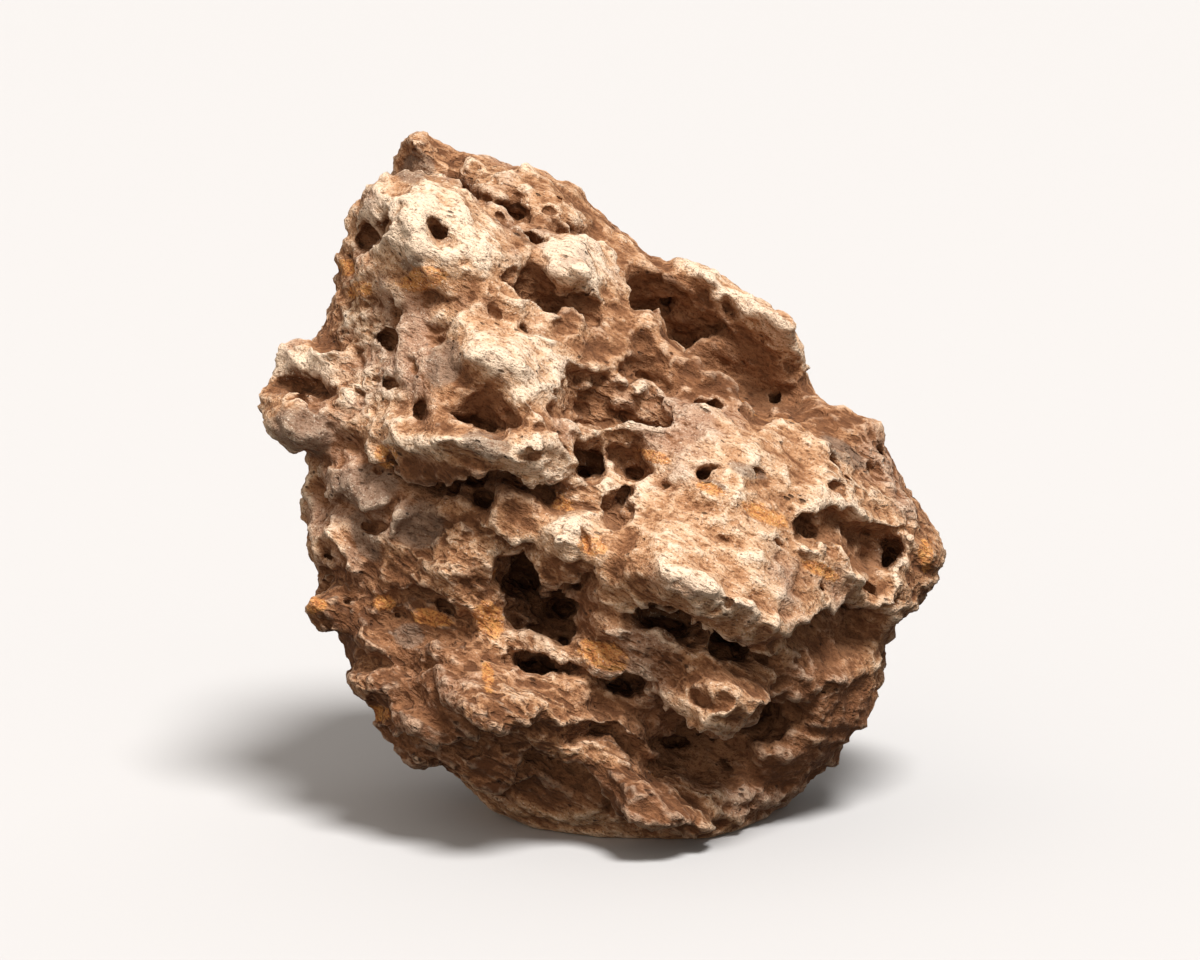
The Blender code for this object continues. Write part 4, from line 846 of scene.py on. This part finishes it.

# Tones of the face: x, up, half sizes along and across, roll, from dark (-1) to pale (1). They are partly
# the rock's own tone and partly painted light: darker low down and on faces that lie in shade, paler
# on the lit tops.
TONES = [
    (-46, 166, 26, 16, -14, 0.75), (-6, 158, 13, 9, -30, 0.95), (-25, 181, 24, 6, -18, 0.1),
    (38, 149, 30, 5, -42, 0.65), (-20, 128, 20, 11, -32, 0.75), (-47, 137, 8, 9, 0, 0.5),
    (-83, 129, 12, 6, -10, 0.9), (-45, 106, 22, 4, 0, 0.5), (-15, 103, 9, 7, -30, 0.75),
    (45, 92, 48, 20, -25, 0.38), (32, 74, 27, 11, -28, 0.6), (-8, 82, 11, 10, -10, 0.5),
    (-23, 88, 9, 7, 0, -0.4), (28, 43, 17, 7, -18, -0.4), (-20, 36, 24, 3, -12, -0.5),
    (12, 9, 22, 7, -25, -1.2), (-80, 111, 11, 7, 0, 0.1), (-66, 90, 17, 17, 0, 0.2),
    (-60, 55, 24, 20, 0, -1.1), (-45, 28, 30, 12, 0, -1.1), (-22, 18, 30, 9, -10, -1.1),
    (66, 53, 18, 9, 15, -0.2), (62, 28, 24, 20, 0, -0.8), (28, 22, 22, 9, -20, -0.9),
    (92, 72, 6, 14, 0, -0.3), (65, 80, 16, 5, -24, -0.1), (22, 147, 17, 8, -33, -1.0),
    (42, 127, 20, 8, -24, -1.0), (-10, 146, 13, 5, -27, -0.7), (0, 48, 26, 8, -20, -0.1),
    (-40, 96, 26, 6, -5, -0.8), (-14, 66, 14, 12, -10, -0.7), (-64, 145, 9, 12, 0, 0.4),
    (-62, 124, 12, 14, 0, 0.6), (-40, 88, 8, 7, 0, -0.4),
]

# Stains of the face: x, up, half sizes along and across, roll.
RUST_STAINS = [
    (-48, 152, 9, 4, 10), (-71, 157, 3, 4, 60), (-66, 150, 5, 3, 0), (-2, 80, 5, 4, 0),
    (-46, 60, 7, 3, -10), (-30, 60, 5, 7, 20), (-59, 64, 4, 3, 0), (-30, 45, 2, 5, 10),
    (1, 50, 9, 5, -20), (45, 88, 9, 3, -25), (60, 73, 7, 2.5, -25), (91, 77, 3, 6, 0),
    (-58, 104, 4, 4, 0), (-12, 92, 7, 3, -20), (-62, 34, 8, 3, -10), (14, 104, 7, 2, -15),
    (24, 140, 5, 2, -30), (-78, 63, 4, 3, 0), (30, 95, 6, 2, -20),
]
SLATE_STAINS = [
    (-52, 185, 6, 7, 0), (-82, 111, 11, 8, -15), (-64, 96, 11, 7, 0), (-49, 85, 8, 8, 10),
    (-42, 129, 6, 8, -20), (-51, 156, 4, 2.5, 0), (-30, 107, 8, 4, -15), (-64, 82, 4, 9, 25),
    (40, 100, 7, 2, -20), (68, 105, 9, 3, -35), (30, 96, 5, 2, -15), (-52, 55, 5, 4, 0),
]


def open_sky(piece, reach, rays):
    """The share of the sky that each vertex sees within reach, 0 deep in a hole and 1 in the open."""
    tree = BVHTree.FromObject(piece, bpy.context.evaluated_depsgraph_get())
    turn = np.arange(rays) * math.pi * (3 - math.sqrt(5))
    height = np.sqrt((np.arange(rays) + 0.5) / rays)
    spread = np.sqrt(1 - height**2)
    dome = np.stack([np.cos(turn) * spread, np.sin(turn) * spread, height], axis=1)
    places, directions = corners(piece), outward(piece)
    helper = np.where(np.abs(directions[:, :1]) < 0.8, [[1.0, 0, 0]], [[0, 1.0, 0]])
    across = np.cross(directions, helper)
    across /= np.maximum(np.linalg.norm(across, axis=1), TINY)[:, None]
    third = np.cross(directions, across)
    frames = np.stack([across, third, directions], axis=1)
    headings = np.einsum("rk,nkj->nrj", dome, frames)
    starts = places + directions * SKY_CLEARANCE
    share = np.empty(len(places))
    for index, (start, fan) in enumerate(zip(starts, headings)):
        origin = Vector(start)
        hidden = sum(tree.ray_cast(origin, Vector(ray), reach)[0] is not None for ray in fan)
        share[index] = 1 - hidden / rays
    return share


def write_mask(piece, name, values):
    """Keeps one value for each vertex, for the material to read."""
    mask = piece.data.attributes.new(name, "FLOAT", "POINT")
    mask.data.foreach_set("value", values.astype(np.float32))


def stained(x, up, facing, ovals, places, seed):
    """Where the named stains lie on the face, and more of their kind strewn over the other sides."""
    strewn = ease(0.25, 0.6, mottle(places, *STAIN_PATCHES, seed))
    return facing * covered(x, up, ovals, *STAIN_EDGE) + (1 - facing) * strewn


places = corners(stone)
x, _, up = places.T
facing = turned_to_viewer(outward(stone), *PAINT_TURN)
crest, rounding = (
    ((places - soft_places) * outward(stone)).sum(axis=1)
    for soft_places, _ in softened(stone, CREST_PASSES, ROUNDING_PASSES)
)
tone = TONE_DRIFT * mottle(places, *TONE_PATCHES) + TONE_MEAN
# Named tones laid over the random tone on the face, partly the rock's own and partly painted light.
for *oval, level in TONES:
    share = facing * (1 - ease(*TONE_EDGE, within(x, up, *oval)))
    tone = tone * (1 - share) + level * share
# Painted shade, with dark earth, in the named hollows of the face.
earth_and_shade = np.zeros(len(x))
for name, darkness in EARTH_AND_SHADE_HOLLOWS.items():
    inset, _ = inside(x, up, HOLLOWS[name][2])
    earth_and_shade = np.maximum(earth_and_shade, darkness * facing * ease(*EARTH_AND_SHADE_EDGE, inset))
masks = {
    "tone": tone,
    "earth_and_shade": earth_and_shade,
    "wiry": facing * covered(x, up, CRUMBLE, *WIRY_EDGE) + 0.6 * (1 - facing),
    "rounding": rounding,
    "open_sky": open_sky(stone, SKY_REACH, SKY_RAYS),
    "crest": crest,
    "rust": stained(x, up, facing, RUST_STAINS, places, 41.0),
    "slate": stained(x, up, facing, SLATE_STAINS, places, 51.0),
}
for name, values in masks.items():
    write_mask(stone, name, values)


class Paint:
    """One socket of a material. Arithmetic on it adds Math nodes."""

    def __init__(self, tree, socket):
        self.tree = tree
        self.socket = socket

    def add(self, kind, settings=None, values=None, out=0):
        """Adds a node with its settings, then its values or links."""
        node = self.tree.nodes.new(kind)
        for name, value in (settings or {}).items():
            setattr(node, name, value)
        for name, value in (values or {}).items():
            self.join(node.inputs[name], value)
        return Paint(self.tree, node.outputs[out])

    def join(self, entry, value):
        """Links a socket to an input, or sets the input's value."""
        if isinstance(value, Paint):
            self.tree.links.new(value.socket, entry)
        else:
            entry.default_value = value

    def math(self, operation, *values):
        return self.add("ShaderNodeMath", {"operation": operation}, dict(enumerate(values)))

    def __add__(self, other):
        return self.math("ADD", self, other)

    def __mul__(self, other):
        return self.math("MULTIPLY", self, other)

    def __sub__(self, other):
        return self.math("SUBTRACT", self, other)

    def __rsub__(self, other):
        return self.math("SUBTRACT", other, self)

    __radd__ = __add__
    __rmul__ = __mul__

    def between(self, low, high):
        """0 below low, 1 above high, an S between them."""
        limits = {"Value": self, "From Min": low, "From Max": high}
        return self.add("ShaderNodeMapRange", {"interpolation_type": "SMOOTHSTEP"}, limits)

    def blend(self, first, second):
        """The first colour where this is 0, the second where it is 1."""
        mix = self.tree.nodes.new("ShaderNodeMix")
        mix.data_type = "RGBA"
        self.join(mix.inputs["Factor"], self)
        self.join(mix.inputs[6], first)
        self.join(mix.inputs[7], second)
        return Paint(self.tree, mix.outputs[2])

    def noise(self, spot, scale, detail, roughness=0.6):
        """Noise from 0 to 1, at scale patches a metre."""
        values = {"Vector": spot, "Scale": scale, "Detail": detail, "Roughness": roughness}
        return self.add("ShaderNodeTexNoise", {}, values)

    def mask(self, name):
        """A value kept for each vertex."""
        return self.add("ShaderNodeAttribute", {"attribute_name": name}, out="Fac")


def new_paint(name):
    """A material, its Principled BSDF, and a start for its paint."""
    material = bpy.data.materials.new(name)
    material.use_nodes = True
    tree = material.node_tree
    return material, tree.nodes["Principled BSDF"], Paint(tree, None)


# The palest colour also serves as a painted highlight on the crests.
PALE_CRUST_AND_HIGHLIGHT = (0.86, 0.665, 0.49, 1)
CREAM = (0.67, 0.43, 0.265, 1)
TAN = (0.48, 0.25, 0.125, 1)
BROWN = (0.26, 0.112, 0.048, 1)
# The two hollow browns, the dark earth and the deep earth also paint shade in the hollows.
HOLLOW = (0.40, 0.20, 0.098, 1)
DARK_HOLLOW = (0.21, 0.092, 0.040, 1)
UMBER = (0.135, 0.053, 0.022, 1)
DARK_EARTH_AND_SHADE = (0.065, 0.027, 0.011, 1)
DEEP_SHADE_AND_EARTH = (0.020, 0.008, 0.004, 1)
RUST = (0.52, 0.17, 0.045, 1)
OCHRE = (0.70, 0.34, 0.10, 1)
SLATE = (0.25, 0.17, 0.12, 1)
MAUVE = (0.38, 0.235, 0.17, 1)
FRESH = (0.92, 0.80, 0.66, 1)
SHEEN = 0.25
BUMP_DISTANCE = 0.0027

rock, surface, paint = new_paint("clay_rock")
spot = paint.add("ShaderNodeTexCoord", out="Object")
grain = paint.add(
    "ShaderNodeMapping", {"vector_type": "TEXTURE"},
    {"Vector": spot, "Rotation": (0, GRAIN_FALL, 0), "Scale": (2.0, 1, 0.9)}
)
tone, earth_and_shade, wiry, rounding, sky, crest, rust, slate = (paint.mask(name) for name in masks)

broad = paint.noise(spot, 28, 3)
patches = paint.noise(grain, 90, 4)
blotches = paint.noise(grain, 260, 5, 0.65)
grit = paint.noise(grain, 900, 3, 0.7)
flecks = paint.noise(spot, 1700, 2)
patchy = patches - 0.5
blotchy = blotches - 0.5
gritty = grit - 0.5
pores = paint.add("ShaderNodeTexVoronoi", {"feature": "F1"}, {"Vector": grain, "Scale": 420}, 0)
pore_here = (1 - pores.between(0.10, 0.26)) * paint.noise(spot, 120, 2).between(0.52, 0.66)
ridged = paint.add(
    "ShaderNodeTexNoise", {"noise_type": "RIDGED_MULTIFRACTAL"},
    {"Vector": grain, "Scale": 330, "Detail": 3, "Roughness": 0.6, "Offset": 0.9, "Gain": 1.6,
     "Distortion": 0.6}
)
wires = ridged.between(0.15, 1.05)

# How far a place stands out, how much sky it sees, and how pale it is, each with an uneven edge.
# The paleness carries painted light and shade from the broad form: paler on broad lumps, darker in
# broad hollows.
rise = crest + 0.35 * blotchy + 0.25 * gritty
light = sky + 0.30 * patchy + 0.22 * blotchy
form = rounding.between(-2.2, 2.2) - 0.5
level = 0.12 + (0.42 + 0.32 * tone + 0.50 * form).between(0.12, 1.12)
level = level + 0.55 * patchy + 0.45 * blotchy + 0.60 * gritty
level = level + (0.12 + 0.18 * wiry) * (wires - 0.50)

# The rock from dark to pale, and the crust on its crests, which is partly a painted highlight.
colour = level.between(0.02, 0.38).blend(UMBER, BROWN)
for start, end, tint in ((0.24, 0.52, TAN), (0.46, 0.72, CREAM), (0.66, 0.95, PALE_CRUST_AND_HIGHLIGHT)):
    colour = level.between(start, end).blend(colour, tint)
mauve_here = broad.between(0.50, 0.64) * level.between(0.2, 0.5) * 0.6
colour = mauve_here.blend(colour, MAUVE)
# Painted highlight with pale crust: the crests lighten towards the palest colour, more where the tone is
# pale.
colour = (rise.between(0.15, 0.9) * (0.30 + 0.35 * tone.between(-0.8, 0.6))).blend(colour, PALE_CRUST_AND_HIGHLIGHT)

# Painted shade with dirt in the hollows, darker the deeper: from what share of sky down it sets in, and how
# thick. Then dark earth with painted shade in the named hollows.
mixed = 0.6 * grit + 0.5 * blotches + 0.35 * wires
dirt_and_shade = mixed.between(0.50, 0.85).blend(DARK_HOLLOW, HOLLOW)
soil_and_shade = mixed.between(0.62, 1.08).blend(DARK_EARTH_AND_SHADE, BROWN)
for full, none, share, tint in (
    (0.35, 0.80, 0.68, dirt_and_shade), (0.02, 0.30, 0.75, soil_and_shade), (-0.08, 0.12, 0.92, DEEP_SHADE_AND_EARTH)
):
    colour = ((1 - light.between(full, none)) * share).blend(colour, tint)
# Dark earth with painted shade in the named hollows, less on the crests.
earth_and_shade_here = earth_and_shade + 0.9 * (mixed - 0.70) - 0.35 * crest.between(0.0, 0.5)
colour = (earth_and_shade_here.between(0.15, 0.95) * 0.9).blend(colour, soil_and_shade)

# Stains, and the specks of grit and the pores over everything.
slate_here = (slate + 0.9 * blotchy).between(0.35, 0.75) * light.between(0.25, 0.6)
colour = (slate_here * 0.7).blend(colour, SLATE)
rust_here = (rust + 1.6 * blotchy + 0.5 * gritty).between(0.50, 0.85)
rusty = grit.between(0.35, 0.65).blend(RUST, OCHRE)
colour = (rust_here * light.between(0.2, 0.5) * 0.8).blend(colour, rusty)
colour = ((1 - grit.between(0.36, 0.47)) * 0.60).blend(colour, UMBER)
colour = ((1 - flecks.between(0.33, 0.42)) * 0.60).blend(colour, DARK_EARTH_AND_SHADE)
colour = (flecks.between(0.60, 0.69) * 0.60 * level.between(0.2, 0.7)).blend(colour, FRESH)
colour = (pore_here * 0.85).blend(colour, DARK_EARTH_AND_SHADE)

surface.inputs["Specular IOR Level"].default_value = SHEEN
paint.join(surface.inputs["Base Color"], colour)
paint.join(surface.inputs["Roughness"], 0.97 - 0.14 * crest.between(0.1, 0.6) - 0.08 * blotches)
height = 0.25 * blotches + 0.34 * grit + 0.14 * flecks + 0.25 * patches - 0.5 * pore_here
height = height + (0.08 + 0.24 * wiry) * wires
bump = paint.add("ShaderNodeBump", {}, {"Height": height, "Distance": BUMP_DISTANCE, "Strength": 1.0})
paint.join(surface.inputs["Normal"], bump)

# Back on the foot, with nothing below the floor.
stone.data.transform(UPRIGHT.inverted())
for vertex in stone.data.vertices:
    vertex.co.z = max(vertex.co.z, 0)
stone.data.materials.clear()
stone.data.materials.append(rock)
take(stone)
bpy.ops.object.shade_smooth()
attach(stone, "root")
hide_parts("stone")

# ---- The floor ---------------------------------------------------------------------------------
# A plain pale sheet that runs out past the camera's view on every side.
FLOOR_RADIUS = 7.0
FLOOR_SIDES = 96
FLOOR_COLOUR = (0.536, 0.528, 0.528, 1)
FLOOR_ROUGHNESS = 0.8
bpy.ops.object.select_all(action="DESELECT")
bpy.ops.mesh.primitive_circle_add(vertices=FLOOR_SIDES, radius=FLOOR_RADIUS, fill_type="NGON")
floor = bpy.context.object
floor.name = "floor"
paper, surface, _ = new_paint("pale_paper")
surface.inputs["Base Color"].default_value = FLOOR_COLOUR
surface.inputs["Roughness"].default_value = FLOOR_ROUGHNESS
floor.data.materials.append(paper)
floor.visible_diffuse = False

# ---- The light and the camera ------------------------------------------------------------------
# One soft lamp high on the front right, a pale sky over everything, and weak wide lamps on the left,
# in front and behind that fill the shade.
ROOM_COLOUR = (0.94, 0.925, 0.92, 1)
# Lamps: azimuth, elevation, the angle that each fills in degrees, strength, colour.
LAMPS = {
    "key": (24, 61, 20, 4.8, (1.0, 0.985, 0.965)),
    "sky": (0, 89, 180, 0.5, (1.0, 0.97, 0.94)),
    "left": (-60, 22, 100, 0.85, (1.0, 0.87, 0.74)),
    "front": (5, 8, 90, 0.9, (1.0, 0.89, 0.78)),
    "back": (190, 28, 110, 0.9, (1.0, 0.95, 0.90)),
}
SUBJECT = Vector((0, -0.013, 0.096))
CAMERA_ELEVATION = math.radians(10)
CAMERA_DISTANCE = 1.2
SENSOR_WIDTH = 36.0
FRAME_WIDTH = 0.333


def direction(azimuth, elevation):
    """The way from the stone to a point at that azimuth and elevation, in radians."""
    flat = math.cos(elevation)
    return Vector((math.sin(azimuth) * flat, -math.cos(azimuth) * flat, math.sin(elevation)))


for name, (azimuth, elevation, angle, strength, colour) in LAMPS.items():
    lamp = bpy.data.lights.new(name, "SUN")
    lamp.energy = strength
    lamp.angle = math.radians(angle)
    lamp.color = colour
    holder = bpy.data.objects.new(name, lamp)
    bpy.context.scene.collection.objects.link(holder)
    away = direction(math.radians(azimuth), math.radians(elevation))
    holder.rotation_euler = away.to_track_quat("Z", "Y").to_euler()

room = bpy.data.worlds.new("room")
bpy.context.scene.world = room
room.use_nodes = True
room.node_tree.nodes["Background"].inputs["Color"].default_value = ROOM_COLOUR
room.cycles_visibility.diffuse = False
room.cycles_visibility.glossy = False

camera = bpy.data.cameras.new("camera")
camera.sensor_width = SENSOR_WIDTH
camera.lens = SENSOR_WIDTH * CAMERA_DISTANCE / FRAME_WIDTH
camera.clip_start = 0.01
eye = bpy.data.objects.new("camera", camera)
bpy.context.scene.collection.objects.link(eye)
back = direction(0, CAMERA_ELEVATION)
eye.location = SUBJECT + back * CAMERA_DISTANCE
eye.rotation_euler = back.to_track_quat("Z", "Y").to_euler()
bpy.context.scene.camera = eye
bpy.context.scene.view_settings.view_transform = "Standard"
